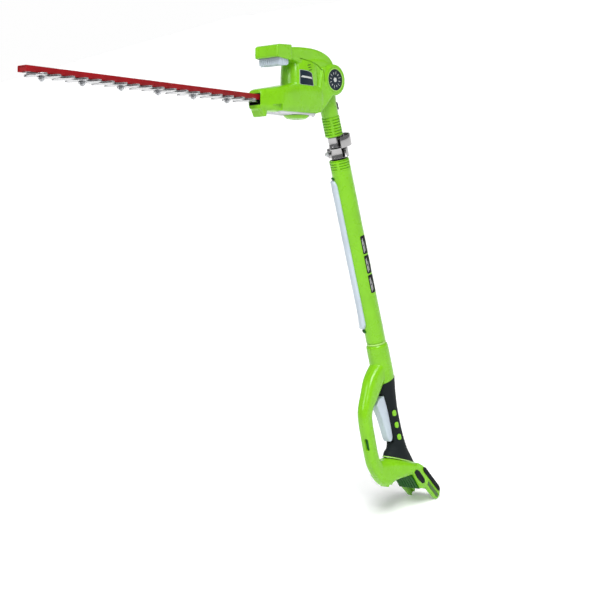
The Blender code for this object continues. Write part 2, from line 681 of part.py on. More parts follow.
def make_head_trim(frame):
    """Hub caps, side plates, the nose liner, the gear-case plate and its domed cover."""
    for name, side in (("hub_cap_left", 1), ("hub_cap_right", -1)):
        cap = turned([(0, 28.4), (20, 28.4), (20, 31.2), (18.6, 31.9), (0, 31.9)], 28)
        if side < 0:
            bmesh.ops.scale(cap, vec=(1, 1, -1), verts=cap.verts)
        add_object(name, aim(cap, "Y"), SLATE, frame)
    for name, side in (("side_plate_left", 1), ("side_plate_right", -1)):
        low, high = sorted((side * 18, side * 40))
        outline = [(-92, 11.5), (-73, 10), (-64, 7), (-58.5, -16.8), (-92, -16.8)]
        plate = add_object(name, tower_sections(-1.0), SLATE, frame)
        add_boolean(plate, "INTERSECT", [add_guide(name + "_form", prism(outline, low, high), frame)])
        bed = [add_guide(name + "_bed", tower_sections(-GAP), frame)]
        bed.append(add_guide(name + "_edge", body_sections(-GAP), frame))
        add_boolean(plate, "DIFFERENCE", bed)
    liner_outside = rounded(-13.9, -60.9, 13.9, -40.1, 1.5, 1)
    liner_inside = rounded(-12.6, -59.6, 12.6, -41.4, 1, 1)
    liner = add_object("nose_liner", prism(liner_outside, -NOSE_END + 0.4, -168, "X"), BLACK_HARD, frame)
    hollow = add_guide("nose_liner_room", prism(liner_inside, -200, -160, "X"), frame)
    add_boolean(liner, "DIFFERENCE", [hollow])
    case = add_object("gear_case", prism(rounded(-145.7, -23.7, -44.3, 23.7, 6), -71.5, -66.5, "Z"), ALUMINIUM, frame)
    seat = aim(cylinder(9.4, -80, -60, 24), "Z", (-GEAR_ALONG, 0, 0))
    add_boolean(case, "DIFFERENCE", [add_guide("gear_case_seat", seat, frame)])
    dome = turned([(0, -71.8), (24, -71.8), (24, -73), (17, -78.5), (0, -78.5)], 24)
    add_object("gear_cover", aim(dome, "Z", (-GEAR_ALONG + 13, 0, 0)), GREEN, frame)


def gear_outline(teeth, pitch_radius, thickness, phase):
    """A spur gear's outline with short, slim teeth; thickness is the tooth's share of the pitch."""
    outline = []
    pitch = 2 * math.pi / teeth
    addendum = 0.62 * GEAR_MODULE
    dedendum = 0.95 * GEAR_MODULE
    for i in range(teeth):
        middle = pitch * i + phase
        for radius, share in ((pitch_radius - dedendum, -0.62), (pitch_radius + addendum, -0.26),
                              (pitch_radius + addendum, 0.26), (pitch_radius - dedendum, 0.62)):
            turn = middle + share * thickness * pitch
            outline.append((radius * math.cos(turn), radius * math.sin(turn)))
    return outline


def make_drive(frame):
    """Motor, rotor with its pinion, and the drive gear with two opposed eccentrics on one shaft."""
    gear_radius = GEAR_MODULE * GEAR_TEETH / 2
    pinion_radius = GEAR_MODULE * PINION_TEETH / 2
    motor_along = GEAR_ALONG - gear_radius - pinion_radius - 0.6
    motor = turned([(4.6, -22), (9, -22), (9, -18), (19, -18), (19, 23), (17, 25), (4.6, 25)], 24, True)
    add_object("motor", aim(motor, "Z", (-motor_along, 0, 0)), ALUMINIUM, frame)
    at = (-motor_along, 0, 0)
    rotor = aim(cylinder(4.0, -29.5, 31, 12), "Z", at)
    pinion = prism(gear_outline(PINION_TEETH, pinion_radius, 0.66, 0.0), -37, -29, "Z")
    rotor_obj = add_object("motor_rotor", rotor, STEEL, frame, at=at)
    add_boolean(rotor_obj, "UNION", [add_guide("rotor_pinion", aim(pinion, "Z", at), frame)])
    at = (-GEAR_ALONG, 0, 0)
    phase = math.pi / GEAR_TEETH
    wheel = prism(gear_outline(GEAR_TEETH, gear_radius, 0.66, phase), -36.5, -30.5, "Z")
    gear = add_object("drive_gear", aim(wheel, "Z", at), STEEL, frame, at=at)
    parts = [aim(cylinder(4.5, -71.2, -25, 16), "Z", at)]
    middle = BLADE_UP - BLADE_THICK - GAP / 2
    for low, high, shift in ((middle, BLADE_UP + 0.3, BLADE_STROKE), (middle - BLADE_THICK - 0.5, middle, -BLADE_STROKE)):
        parts.append(aim(cylinder(8.0 + 0.01 * shift, low, high, 20), "Z", (-GEAR_ALONG, shift, 0)))
    add_boolean(gear, "UNION", [add_guide("gear_part", part, frame) for part in parts])
    race = turned([(4.8, -71.2), (9.1, -71.2), (9.1, -66.7), (4.8, -66.7)], 20, True)
    add_object("gear_bearing", aim(race, "Z", at), STEEL, frame)


# ---------------------------------------------------------------- blade


def blade_outline():
    """A toothed blade seen from above as (x, y), with a yoke at its root and teeth on both sides."""
    half = [(-GEAR_ALONG + 24.5, 18.5), (-GEAR_ALONG - 24.5, 18.5), (-GEAR_ALONG - 40, 9.0), (3 - BLADE_ROOT, 9.0)]
    for i in range(TOOTH_COUNT):
        along = BLADE_ROOT + i * TOOTH_PITCH
        half += [(-along, BLADE_BODY), (-along - 5.5, TOOTH_REACH), (-along - 12.0, TOOTH_REACH),
                 (-along - 17.5, BLADE_BODY)]
    half.append((-BLADE_ROOT - TOOTH_COUNT * TOOTH_PITCH + 5, 6.0))
    return half + [(x, -y) for x, y in reversed(half)]


def make_blade(name, frame, top):
    """A reciprocating blade with a yoke round the eccentric and a slot for each bolt."""
    blade = add_object(name, prism(blade_outline(), top - BLADE_THICK, top, "Z"), STEEL, frame)
    window = rounded(-GEAR_ALONG - 20.5, -14.5, -GEAR_ALONG + 20.5, 14.5, 4, 1)
    cuts = [add_guide(name + "_window", prism(window, top - 5, top + 5, "Z"), frame)]
    for i in range(BOLT_COUNT):
        along = BOLT_FIRST + i * BOLT_PITCH
        reach = BLADE_STROKE + 3.4
        slot = rounded(-along - reach, -2.7, -along + reach, 2.7, 2.6, 1)
        cuts.append(add_guide(name + "_slot", prism(slot, top - 5, top + 5, "Z"), frame))
    add_boolean(blade, "DIFFERENCE", cuts)


def make_blade_support(frame):
    """The red channel, the flat bar inside it and the bolts that hold the blades to the bar."""
    outer = [(-11, -52), (-11, -42), (11, -42), (11, -52), (9.4, -52), (9.4, -43.6), (-9.4, -43.6), (-9.4, -52)]
    add_object("blade_channel", prism(outer, -CHANNEL_TIP, -150, "X"), RED, frame)
    bar_form = prism([(-8.6, -52), (8.6, -52), (8.6, -46.4), (-8.6, -46.4)], -CHANNEL_TIP + 8, -126, "X")
    support = add_object("support_bar", bar_form, STEEL, frame)
    holes = []
    for i in range(BOLT_COUNT):
        at = (-(BOLT_FIRST + i * BOLT_PITCH), 0, 0)
        holes.append(add_guide("bar_hole", aim(cylinder(2.6, -60, -40, 8), "Z", at), frame))
        profile = [(0, -44), (4, -44), (4, -46.1), (2.3, -46.1), (2.3, -57.2), (5.0, -57.2), (5.0, -61.8),
                   (0, -61.8)]
        add_object("blade_bolt_%d" % (i + 1), aim(turned(profile, 6), "Z", at), STEEL, frame)
    add_boolean(support, "DIFFERENCE", holes)


# ---------------------------------------------------------------- release of the head


def make_release(frame):
    """The ribbed lever under the beak, its cable and the pawl that meets the index ring."""
    outline = [(-149, 28), (-149, 15)]
    for i in range(6):
        outline += [(-147.8 + i * 3.6, 13.4 + i * 0.4), (-146.2 + i * 3.6, 14.8 + i * 0.4)]
    outline += [(-125, 18), (-125, 28)]
    lever = prism(outline, -26.1, 26.1)
    release = add_object("release_lever", lever, GREY_SOFT, frame, at=(-140, 0, 28))
    stem = box((-145, -6, 26), (-134, 6, 36))
    add_boolean(release, "UNION", [add_guide("release_stem", stem, frame)])
    points = [(-128.5, 0, 38), (-118, 0, 40.5), (-100, 0, 43), (-78, 0, 44.6), (-56, 0, 44), (-40, 0, 41.5)]
    add_tube("release_cable", points, 1.2, BLACK_SOFT, frame)
    turn = math.radians(50)
    way = Vector((-math.cos(turn), 0, math.sin(turn)))
    side = Vector((0, 1, 0))
    rings = []
    for reach, half in ((KNUCKLE_RADIUS + 0.3, 1.1), (KNUCKLE_RADIUS + 2.0, 2.4), (KNUCKLE_RADIUS + 11, 2.4)):
        ring_side = way.cross(side)
        middle = way * reach
        rings.append([middle + ring_side * u * half + side * v * 2.8 for u, v in ((-1, -1), (1, -1), (1, 1), (-1, 1))])
    add_object("lock_pawl", loft(rings), STEEL, frame, at=tuple(way * KNUCKLE_RADIUS))


# ---------------------------------------------------------------- handle


def dock_point(down, deep):
    """A point of the battery cradle: `down` its rails from the top, `deep` in from its rear face."""
    turn = math.radians(DOCK_ANGLE)
    x = DOCK_CORNER[0] + down * math.sin(turn) - deep * math.cos(turn)
    z = DOCK_CORNER[1] - down * math.cos(turn) - deep * math.sin(turn)
    return (x, z)


def dock_outline(points):
    return [dock_point(down, deep) for down, deep in points]


GRIP_LEVELS = (
    (0.3, -256, 24.0, 23.2, 0.0),
    (0.2, -272, 24.2, 22.8, 0.0),
    (-0.5, -290, 22.4, 20.6, 0.0),
    (-1.5, -315, 19.6, 18.2, 0.0),
    (-2.0, -345, 17.2, 16.6, 0.0),
    (-2.5, -385, 17.0, 16.5, 0.0),
    (-2.0, -410, 18.2, 17.0, -0.15),
    (-3.0, -430, 23.5, 18.3, -0.4),
    (-4.0, -444, 32.0, 21.0, -0.6),
    (-5.0, -460, 39.0, 24.0, -0.614),
)
GUARD_PATH = (
    (-2, -256, 10, 15),
    (-19, -263, 20, 16.5),
    (-36, -278, 21, 16),
    (-54, -298, 17.5, 15),
    (-67, -312, 14.5, 14.2),
    (-75.5, -326, 13, 13.8),
    (-79.5, -345, 12.5, 13.5),
    (-81.5, -380, 12.5, 13.5),
    (-82.5, -412, 12.5, 13.5),
    (-81, -430, 13.5, 13.5),
    (-74, -448, 15, 14),
    (-62, -463, 17, 15),
)


def neck_column(shrink=0.0):
    """The handle's mouth and neck, which runs down inside the grip."""
    stations = (
        (0, POLE_BOTTOM - 3.4, 20.6, 20.6, 0),
        (0, POLE_BOTTOM - 5.5, 21.6, 21.6, 0),
        (0, -245, 22.4, 22.2, 0),
        (0, -275, 22.4, 21.4, 0),
        (-1, -318, 19.0, 18.0, 0),
    )
    return upright(stations, 20, 2.0, shrink)


def base_sections(shrink=0.0):
    """The bowl between the guard's foot and the battery cradle, as upright sections."""
    rings = []
    for x, top, bottom, half in ((-84, -438, -462, 12), (-72, -432, -482, 14.5), (-56, -434, -489, 18),
                                 (-40, -437, -486, 24), (-22, -445, -487, 31), (-6, -454, -489, 35.5),
                                 (10, -463, -492, DOCK_HALF), (24, -472, -494, DOCK_HALF - 0.6)):
        middle = (top + bottom) / 2
        height = (top - bottom) / 2 - shrink
        count = 12 if shrink > 0 else 20
        rings.append(oval((x, 0, middle), (0, half - shrink, 0), (0, 0, height), count, 3.0))
    return loft(rings)


def grip_edge(lift):
    """The arched edge, as (x, z) points from the rear, where the green neck gives way to the soft grip."""
    return [(60, -262 + lift), (20, -279 + lift), (-4, -282.5 + lift), (-30, -289 + lift), (-60, -313 + lift)]


def grip_top(lift):
    """Everything below that edge."""
    return prism(grip_edge(lift) + [(-60, -600), (60, -600)], -60, 60)


def grip_above():
    """Everything above that edge, less the gap between the two."""
    return prism(grip_edge(-GAP) + [(-60, -100), (60, -100)], -60, 60)


def lock_form(low, grow=0.0):
    """The lock-off button's stadium outline, run along X from a level inside the grip."""
    outline = rounded(-8.5 - grow, -333 - grow, 8.5 + grow, -290 + grow, 8.4, 4)
    return prism(outline, low, 40, "X")


def make_handle_shells():
    """Two shells: mouth, D guard, grip core, bowl and the battery cradle with its rails."""
    cradle = dock_outline([(-24, 6), (-20, 44), (-4, 42.5), (23, 38.5), (23, 27.5), (36, 27), (70, 25.7),
                           (75, 21), (75, 12), (69, 2.5), (60, 0), (0, 0), (-12, 2)])
    neck = add_guide("handle_neck", neck_column())
    add_boolean(neck, "DIFFERENCE", [add_guide("handle_neck_end", grip_top(0))])
    joined = [
        neck,
        add_guide("handle_guard", bar(GUARD_PATH, 16)),
        add_guide("handle_base", base_sections()),
        add_guide("handle_cradle", prism(cradle, -DOCK_HALF, DOCK_HALF)),
    ]
    dock_room = dock_outline([(12, DOCK_WALL), (90, DOCK_WALL), (90, 70), (24, 70), (12, 30)])
    rail_room = dock_outline([(14, 12.5), (90, 12.5), (90, 21.5), (14, 21.5)])
    groove = dock_outline([(24, 13), (90, 13), (90, 22), (28, 22)])
    cuts = [
        add_guide("handle_room_neck", neck_column(WALL)),
        add_guide("handle_mouth", cylinder(SPIGOT_RADIUS + GAP, POLE_BOTTOM - 60, POLE_BOTTOM + 5, 28)),
        add_guide("handle_room_guard", bar(GUARD_PATH[:-1], 10, shrink=WALL)),
        add_guide("handle_room_grip", upright(GRIP_LEVELS[:-2], 12, 2.0, GRIP_SKIN + WALL)),
        add_guide("handle_room_base", base_sections(3.0)),
        add_guide("handle_dock_room", prism(dock_room, -DOCK_HALF + 7.5, DOCK_HALF - 7.5)),
        add_guide("handle_rail_room", prism(rail_room, -DOCK_HALF + 3.0, DOCK_HALF - 3.0)),
        add_guide("handle_groove_left", prism(groove, DOCK_HALF - 1.2, DOCK_HALF + 5)),
        add_guide("handle_groove_right", prism(groove, -DOCK_HALF - 5, 1.2 - DOCK_HALF)),
        add_guide("handle_trigger_room", box((-45, -8.4, -411), (-3, 8.4, -309.5))),
        add_guide("handle_guard_slot", prism(rounded(-4, -400, 4, -376, 3.9), -100, -89, "X")),
        add_guide("handle_pin_bore", aim(cylinder(2.3, -10.1, 10.1, 12), "Y", TRIGGER_PIN)),
        add_guide("handle_lock_room", lock_form(5, GAP)),
    ]
    for name, side in (("handle_shell_left", 1), ("handle_shell_right", -1)):
        shell = add_object(name, upright(GRIP_LEVELS, 20, 2.0, GRIP_SKIN + 0.5), GREEN)
        add_boolean(shell, "UNION", joined)
        add_boolean(shell, "DIFFERENCE", cuts + [add_guide(name + "_cut", half_space(side))])


def make_grip_overmould():
    """Soft black halves over the grip, slanted where they meet the green neck and the bowl."""
    cuts = [
        add_guide("overmould_core", upright(GRIP_LEVELS, 20, 2.0, GRIP_SKIN)),
        add_guide("overmould_top", grip_above()),
        add_guide("overmould_bottom", prism([(-90, -600), (90, -600), (90, -512.5), (-90, -401.5)], -60, 60)),
        add_guide("overmould_trigger", box((-60, -8.4, -411), (-3, 8.4, -309.5))),
        add_guide("overmould_guard", bar(GUARD_PATH, 16, 2.0, -GAP)),
        add_guide("overmould_lock", lock_form(5, GAP)),
        add_guide("overmould_base", base_sections(-GAP)),
    ]
    for name, side in (("grip_overmould_left", 1), ("grip_overmould_right", -1)):
        skin = add_object(name, upright(GRIP_LEVELS), BLACK_SOFT)
        add_boolean(skin, "DIFFERENCE", cuts + [add_guide(name + "_cut", half_space(side))])


def make_trigger():
    """The long trigger, hung on a pin at its top, and its torsion spring."""
    pin_x, _, pin_z = TRIGGER_PIN
    outline = [(-26, -311), (-38, -315), (-43.5, -320.5), (-42, -332), (-37, -352), (-33.5, -378), (-31.5, -398),
               (-28, -406), (-21, -407), (-17, -401), (-14.5, -375), (-13.5, -350), (-11.5, -328), (-8.3, -316),
               (-8.3, -313), (-12.5, -310.5)]
    trigger = add_object("trigger", prism(outline, -7.8, 7.8), GREY_SOFT, at=(pin_x, 0, pin_z))
    bore = aim(cylinder(2.3, -20, 20, 12), "Y", TRIGGER_PIN)
    add_boolean(trigger, "DIFFERENCE", [add_guide("trigger_bore", bore)])
    add_object("trigger_pin", aim(cylinder(2.0, -9.8, 9.8, 12), "Y", TRIGGER_PIN), STEEL)


def make_grip_inside():
    """Switch, lock-off button and the control board."""
    add_object("main_switch", box((-2.6, -6.4, -372), (6.6, 6.4, -348)), BLACK_HARD)
    button = add_object("lock_off_button", upright(GRIP_LEVELS, 20, 2.0, -0.8), BLACK_HARD, at=(14, 0, -312))
    add_boolean(button, "INTERSECT", [add_guide("lock_off_form", lock_form(10))])
    add_object("control_board", box((-26, -17, -470), (8, 17, -468.4)), BOARD)


def make_terminals():
    """The battery's terminal block between the cradle's walls, with two blade contacts."""
    outline = dock_outline([(12 + GAP, 8), (34, 8), (34, 23), (12 + GAP, 23)])
    block = add_object("terminal_block", prism(outline, -20, 20), DARK_GREEN)
    slots = []
    for name, side in (("contact_positive", 9), ("contact_negative", -9)):
        room = dock_outline([(20, 11), (60, 11), (60, 20), (20, 20)])
        slots.append(add_guide(name + "_slot", prism(room, side - 2.2, side + 2.2)))
        blade = dock_outline([(20.4, 12), (33, 12), (33, 19), (20.4, 19)])
        add_object(name, prism(blade, side - 0.6, side + 0.6), COPPER)
    add_boolean(block, "DIFFERENCE", slots)


def make_bumpers():
    """Rubber on the cradle's corners: a lozenge on each cheek and a strip along each rear edge."""
    for word, side in (("left", 1), ("right", -1)):
        low, high = sorted((side * (DOCK_HALF + GAP), side * (DOCK_HALF + 2.0)))
        lozenge = dock_outline([(-20, 20), (-13, 15.5), (-2, 18), (13, 25), (12.5, 29), (3, 33), (-10, 29.5)])
        add_object("side_bumper_" + word, prism(lozenge, low, high), BLACK_SOFT)
        strip = dock_outline([(-8, 2.5), (-4, 0.5), (58, 0.5), (66, 3), (67, 8), (60, 9.5), (-2, 9.5), (-8, 6)])
        add_object("rear_bumper_" + word, prism(strip, low, high), BLACK_SOFT)


def build():
    clear_scene()
    make_outer_pole()
    make_pole_trim()
    make_collet_bush()
    make_coiled_cable()
    make_pole_ring()
    make_clamp_bands()
    make_clamp_bolt()
    make_clamp_lever()
    make_inner_tube()
    make_neck()
    make_index_ring()
    make_pivot()
    make_neck_catch()
    frame = head_frame()
    make_head_shells(frame)
    make_head_trim(frame)
    make_drive(frame)
    make_blade("upper_blade", frame, BLADE_UP)
    make_blade("lower_blade", frame, BLADE_UP - BLADE_THICK - GAP)
    make_blade_support(frame)
    make_release(frame)
    make_handle_shells()
    make_grip_overmould()
    make_trigger()
    make_grip_inside()
    make_terminals()
    make_bumpers()


build()
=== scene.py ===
"""Looks for the pole hedge trimmer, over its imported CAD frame.

Lengths are in millimetres until a piece is placed. A piece of the head is made in the head's own frame,
where -x runs along the blade and z is square to the blade's plane, and HEAD takes it to the row frame.
"""

import math

import bmesh
import bpy
from mathutils import Matrix, Vector


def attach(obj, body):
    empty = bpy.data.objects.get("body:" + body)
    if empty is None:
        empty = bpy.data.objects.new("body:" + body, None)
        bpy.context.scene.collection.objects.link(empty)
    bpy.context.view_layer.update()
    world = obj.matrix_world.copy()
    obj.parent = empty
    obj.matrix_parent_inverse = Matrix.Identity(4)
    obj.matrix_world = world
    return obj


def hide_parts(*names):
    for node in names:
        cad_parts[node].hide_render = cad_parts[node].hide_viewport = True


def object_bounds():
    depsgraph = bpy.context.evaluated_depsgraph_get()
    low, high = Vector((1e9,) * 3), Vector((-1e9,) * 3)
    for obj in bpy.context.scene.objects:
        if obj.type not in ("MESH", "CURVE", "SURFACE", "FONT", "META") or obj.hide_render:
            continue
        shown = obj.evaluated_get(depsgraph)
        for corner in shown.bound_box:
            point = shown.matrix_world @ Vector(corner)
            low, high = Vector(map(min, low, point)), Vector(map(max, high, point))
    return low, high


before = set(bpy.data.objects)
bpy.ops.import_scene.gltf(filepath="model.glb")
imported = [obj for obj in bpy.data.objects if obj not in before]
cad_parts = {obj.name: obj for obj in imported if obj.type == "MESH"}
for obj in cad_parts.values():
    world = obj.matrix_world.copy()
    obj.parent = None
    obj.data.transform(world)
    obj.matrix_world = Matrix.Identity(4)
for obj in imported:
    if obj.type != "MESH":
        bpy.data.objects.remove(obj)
CAD_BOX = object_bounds()

MM = 0.001
GAP = 0.3
ROOT, NECK, HEAD_BODY = "pole_and_handle", "neck", "head"
PIVOT = Vector((0, 0, 327.4))
HEAD = Matrix.Translation(PIVOT) @ Matrix.Rotation(math.radians(18), 4, "Y")
WORLD = Matrix.Identity(4)
HEAD_BODIES = (HEAD_BODY, "release", "blade_upper", "blade_lower")
SIDES = (("left", 1), ("right", -1))


# ---------------------------------------------------------------- shapes


def spread(stations, count):
    """Stations resampled along a smooth curve through them."""
    rows = [Vector(s) for s in stations]
    steps = [0.0]
    for a, b in zip(rows, rows[1:]):
        steps.append(steps[-1] + max((b - a).length, 1e-6))
    made = []
    for i in range(count):
        at = steps[-1] * i / (count - 1)
        k = max(j for j in range(len(rows) - 1) if steps[j] <= at + 1e-9)
        span = steps[k + 1] - steps[k]
        t = (at - steps[k]) / span
        slopes = []
        for j in (k, k + 1):
            low, high = max(j - 1, 0), min(j + 1, len(rows) - 1)
            slopes.append((rows[high] - rows[low]) / (steps[high] - steps[low]))
        t2, t3 = t * t, t * t * t
        point = rows[k] * (2 * t3 - 3 * t2 + 1) + slopes[0] * (t3 - 2 * t2 + t) * span
        point += rows[k + 1] * (3 * t2 - 2 * t3) + slopes[1] * (t3 - t2) * span
        made.append(tuple(point))
    return made


def loft(rings, closed=False):
    """A form through rings of points, with its ends capped unless it is closed on itself."""
    form = bmesh.new()
    rows = [[form.verts.new(point) for point in ring] for ring in rings]
    pairs = list(zip(rows, rows[1:]))
    if closed:
        pairs.append((rows[-1], rows[0]))
    for low, high in pairs:
        for i in range(len(low)):
            j = (i + 1) % len(low)
            form.faces.new((low[i], low[j], high[j], high[i]))
    if not closed:
        form.faces.new(rows[0])
        form.faces.new(rows[-1])
    bmesh.ops.recalc_face_normals(form, faces=form.faces)
    return form


def prism(outline, low, high, axis="Y"):
    """An outline drawn out along an axis."""
    place = {
        "X": lambda u, v, level: (level, u, v),
        "Y": lambda u, v, level: (u, level, v),
        "Z": lambda u, v, level: (u, v, level),
    }[axis]
    return loft([[place(u, v, level) for u, v in outline] for level in (low, high)])


def box(low, high):
    (x0, y0, z0), (x1, y1, z1) = low, high
    return prism([(x0, y0), (x1, y0), (x1, y1), (x0, y1)], z0, z1, "Z")


def turned(profile, segments=64, ring=False):
    """A (radius, height) profile turned about z; a ring's profile is closed on itself."""
    form = bmesh.new()
    rows = []
    for radius, height in profile:
        if radius < 1e-6:
            rows.append([form.verts.new((0, 0, height))] * segments)
            continue
        turn = [2 * math.pi * i / segments for i in range(segments)]
        rows.append([form.verts.new((radius * math.cos(t), radius * math.sin(t), height)) for t in turn])
    pairs = list(zip(rows, rows[1:]))
    if ring:
        pairs.append((rows[-1], rows[0]))
    for low, high in pairs:
        for i in range(segments):
            j = (i + 1) % segments
            form.faces.new(list(dict.fromkeys((low[i], low[j], high[j], high[i]))))
    if not ring:
        for row in (rows[0], rows[-1]):
            if row[0] is not row[1]:
                form.faces.new(row)
    bmesh.ops.recalc_face_normals(form, faces=form.faces)
    return form


def aim(form, axis, at=(0, 0, 0)):
    """A form made along z, turned to an axis and moved to a point."""
    turns = {"X": Matrix.Rotation(math.pi / 2, 4, "Y"), "Y": Matrix.Rotation(-math.pi / 2, 4, "X")}
    if axis in turns:
        bmesh.ops.transform(form, matrix=turns[axis], verts=form.verts)
    bmesh.ops.translate(form, verts=form.verts, vec=at)
    return form


def disc(radius, low, high, axis="Z", at=(0, 0, 0), segments=64):
    return aim(turned([(radius, low), (radius, high)], segments), axis, at)


def oval(centre, first, second, count, power=2.0):
    """A ring of points, squarer as power grows."""
    centre, first, second = Vector(centre), Vector(first), Vector(second)
    ring = []
    for i in range(count):
        turn = 2 * math.pi * (i + 0.5) / count
        c, s = math.cos(turn), math.sin(turn)
        u = math.copysign(abs(c) ** (2 / power), c)
        v = math.copysign(abs(s) ** (2 / power), s)
        ring.append(centre + first * u + second * v)
    return ring


def bar(stations, count=40, power=2.2, shrink=0.0, steps=60):
    """A bar in the XZ plane through (x, z, half depth, half width) stations, square to its path."""
    stations = spread(stations, steps)
    rings = []
    for i, (x, z, depth, width) in enumerate(stations):
        before, after = stations[max(i - 1, 0)], stations[min(i + 1, len(stations) - 1)]
        way = Vector((after[0] - before[0], 0, after[1] - before[1])).normalized()
        across = Vector((way.z, 0, -way.x))
        rings.append(oval((x, 0, z), across * (depth - shrink), (0, width - shrink, 0), count, power))
    return loft(rings)


def upright(stations, count=64, power=2.0, shrink=0.0, steps=60):
    """A column of ovals through (x, z, half depth, half width, slope) stations."""
    rings = []
    for x, z, depth, width, slope in spread(stations, steps):
        rings.append(oval((x, 0, z), Vector((1, 0, slope)) * (depth - shrink), (0, width - shrink, 0),
                          count, power))
    return loft(rings)


def rounded(low_u, low_v, high_u, high_v, radius, steps=6):
    outline = []
    corners = ((high_u - radius, high_v - radius, 0), (low_u + radius, high_v - radius, 90),
               (low_u + radius, low_v + radius, 180), (high_u - radius, low_v + radius, 270))
    for u, v, start in corners:
        for i in range(steps + 1):
            turn = math.radians(start + 90 * i / steps)
            outline.append((u + radius * math.cos(turn), v + radius * math.sin(turn)))
    return outline


def round_corners(points, radius, steps=5):
    """A polygon with each corner replaced by an arc, as near to radius as its sides allow."""
    made = []
    count = len(points)
    for i in range(count):
        before, here, after = (Vector(points[(i + k) % count]) for k in (-1, 0, 1))
        reach = min(radius, (before - here).length * 0.45, (after - here).length * 0.45)
        start = here + (before - here).normalized() * reach
        end = here + (after - here).normalized() * reach
        for k in range(steps + 1):
            t = k / steps
            made.append(tuple(start * (1 - t) ** 2 + here * 2 * t * (1 - t) + end * t * t))
    return made


def soften(form, width, segments=2, angle=35):
    """Rounds the edges that are sharper than an angle."""
    limit = math.radians(angle)
    edges = [e for e in form.edges if len(e.link_faces) == 2 and e.calc_face_angle(0) > limit]
    bmesh.ops.bevel(form, geom=edges, offset=width, segments=segments, affect="EDGES", clamp_overlap=True,
                    profile=0.5)
    return form


def moved(form, matrix):
    bmesh.ops.transform(form, matrix=matrix, verts=form.verts)
    return form


def merged(forms):
    """Several forms as one bmesh, with nothing joined."""
    whole = bmesh.new()
    for form in forms:
        mesh = mesh_of("part", form)
        whole.from_mesh(mesh)
        bpy.data.meshes.remove(mesh)
    return whole


def linked(name, data):
    """A new object in the scene that shows some data."""
    obj = bpy.data.objects.new(name, data)
    bpy.context.scene.collection.objects.link(obj)
    return obj


def mesh_of(name, form):
    """A mesh made from a form, which is used up."""
    mesh = bpy.data.meshes.new(name)
    form.to_mesh(mesh)
    form.free()
    return mesh


def dropped(obj):
    """Removes an object and its mesh."""
    mesh = obj.data
    bpy.data.objects.remove(obj, do_unlink=True)
    bpy.data.meshes.remove(mesh)


def settled(obj):
    """The bmesh that an object's modifiers make, with the object dropped."""
    bpy.context.view_layer.update()
    graph = bpy.context.evaluated_depsgraph_get()
    mesh = bpy.data.meshes.new_from_object(obj.evaluated_get(graph))
    form = bmesh.new()
    form.from_mesh(mesh)
    bpy.data.meshes.remove(mesh)
    dropped(obj)
    return form


def fuse(forms, voxel, rounds):
    """Overlapping forms melted into one skin, with small fillets where they meet."""
    obj = linked("work", mesh_of("work", merged(forms)))
    remesh = obj.modifiers.new("melt", "REMESH")
    remesh.mode = "VOXEL"
    remesh.voxel_size = voxel
    ease = obj.modifiers.new("ease", "SMOOTH")
    ease.factor = 0.5
    ease.iterations = rounds
    return settled(obj)


def combine(form, others, operation="DIFFERENCE"):
    """Cuts, joins or intersects a form with others, one after another."""
    obj = linked("work", mesh_of("work", form))
    tools = [linked("work", mesh_of("work", other)) for other in others]
    for tool in tools:
        step = obj.modifiers.new("step", "BOOLEAN")
        step.operation = operation
        step.solver = "MANIFOLD"
        step.object = tool
    made = settled(obj)
    for tool in tools:
        dropped(tool)
    return made


def halves(form):
    """The left and right halves of a form, parted at the middle plane."""
    reach = 900
    right = combine(form.copy(), [box((-reach, -GAP / 2, -reach), (reach, reach, reach))])
    left = combine(form, [box((-reach, -reach, -reach), (reach, GAP / 2, reach))])
    return left, right


def piece(name, form, material, body, replaces=(), place=None, sharp=32):
    """Places a form, in millimetres, as a piece that rides on a body."""
    if place is None:
        place = HEAD if body in HEAD_BODIES else WORLD
    moved(form, Matrix.Scale(MM, 4) @ place)
    mesh = mesh_of(name, form)
    mesh.shade_smooth()
    mesh.set_sharp_from_angle(angle=math.radians(sharp))
    mesh.materials.append(material)
    obj = linked(name, mesh)
    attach(obj, body)
    if replaces:
        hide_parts(*replaces)


def paired(name, nodes, form, material, body):
    """Both halves of a form, as a left and a right piece."""
    for (word, _), half in zip(SIDES, halves(form)):
        piece("%s_%s" % (name, word), half, material, body, ["%s_%s" % (nodes, word)])


# ---------------------------------------------------------------- materials


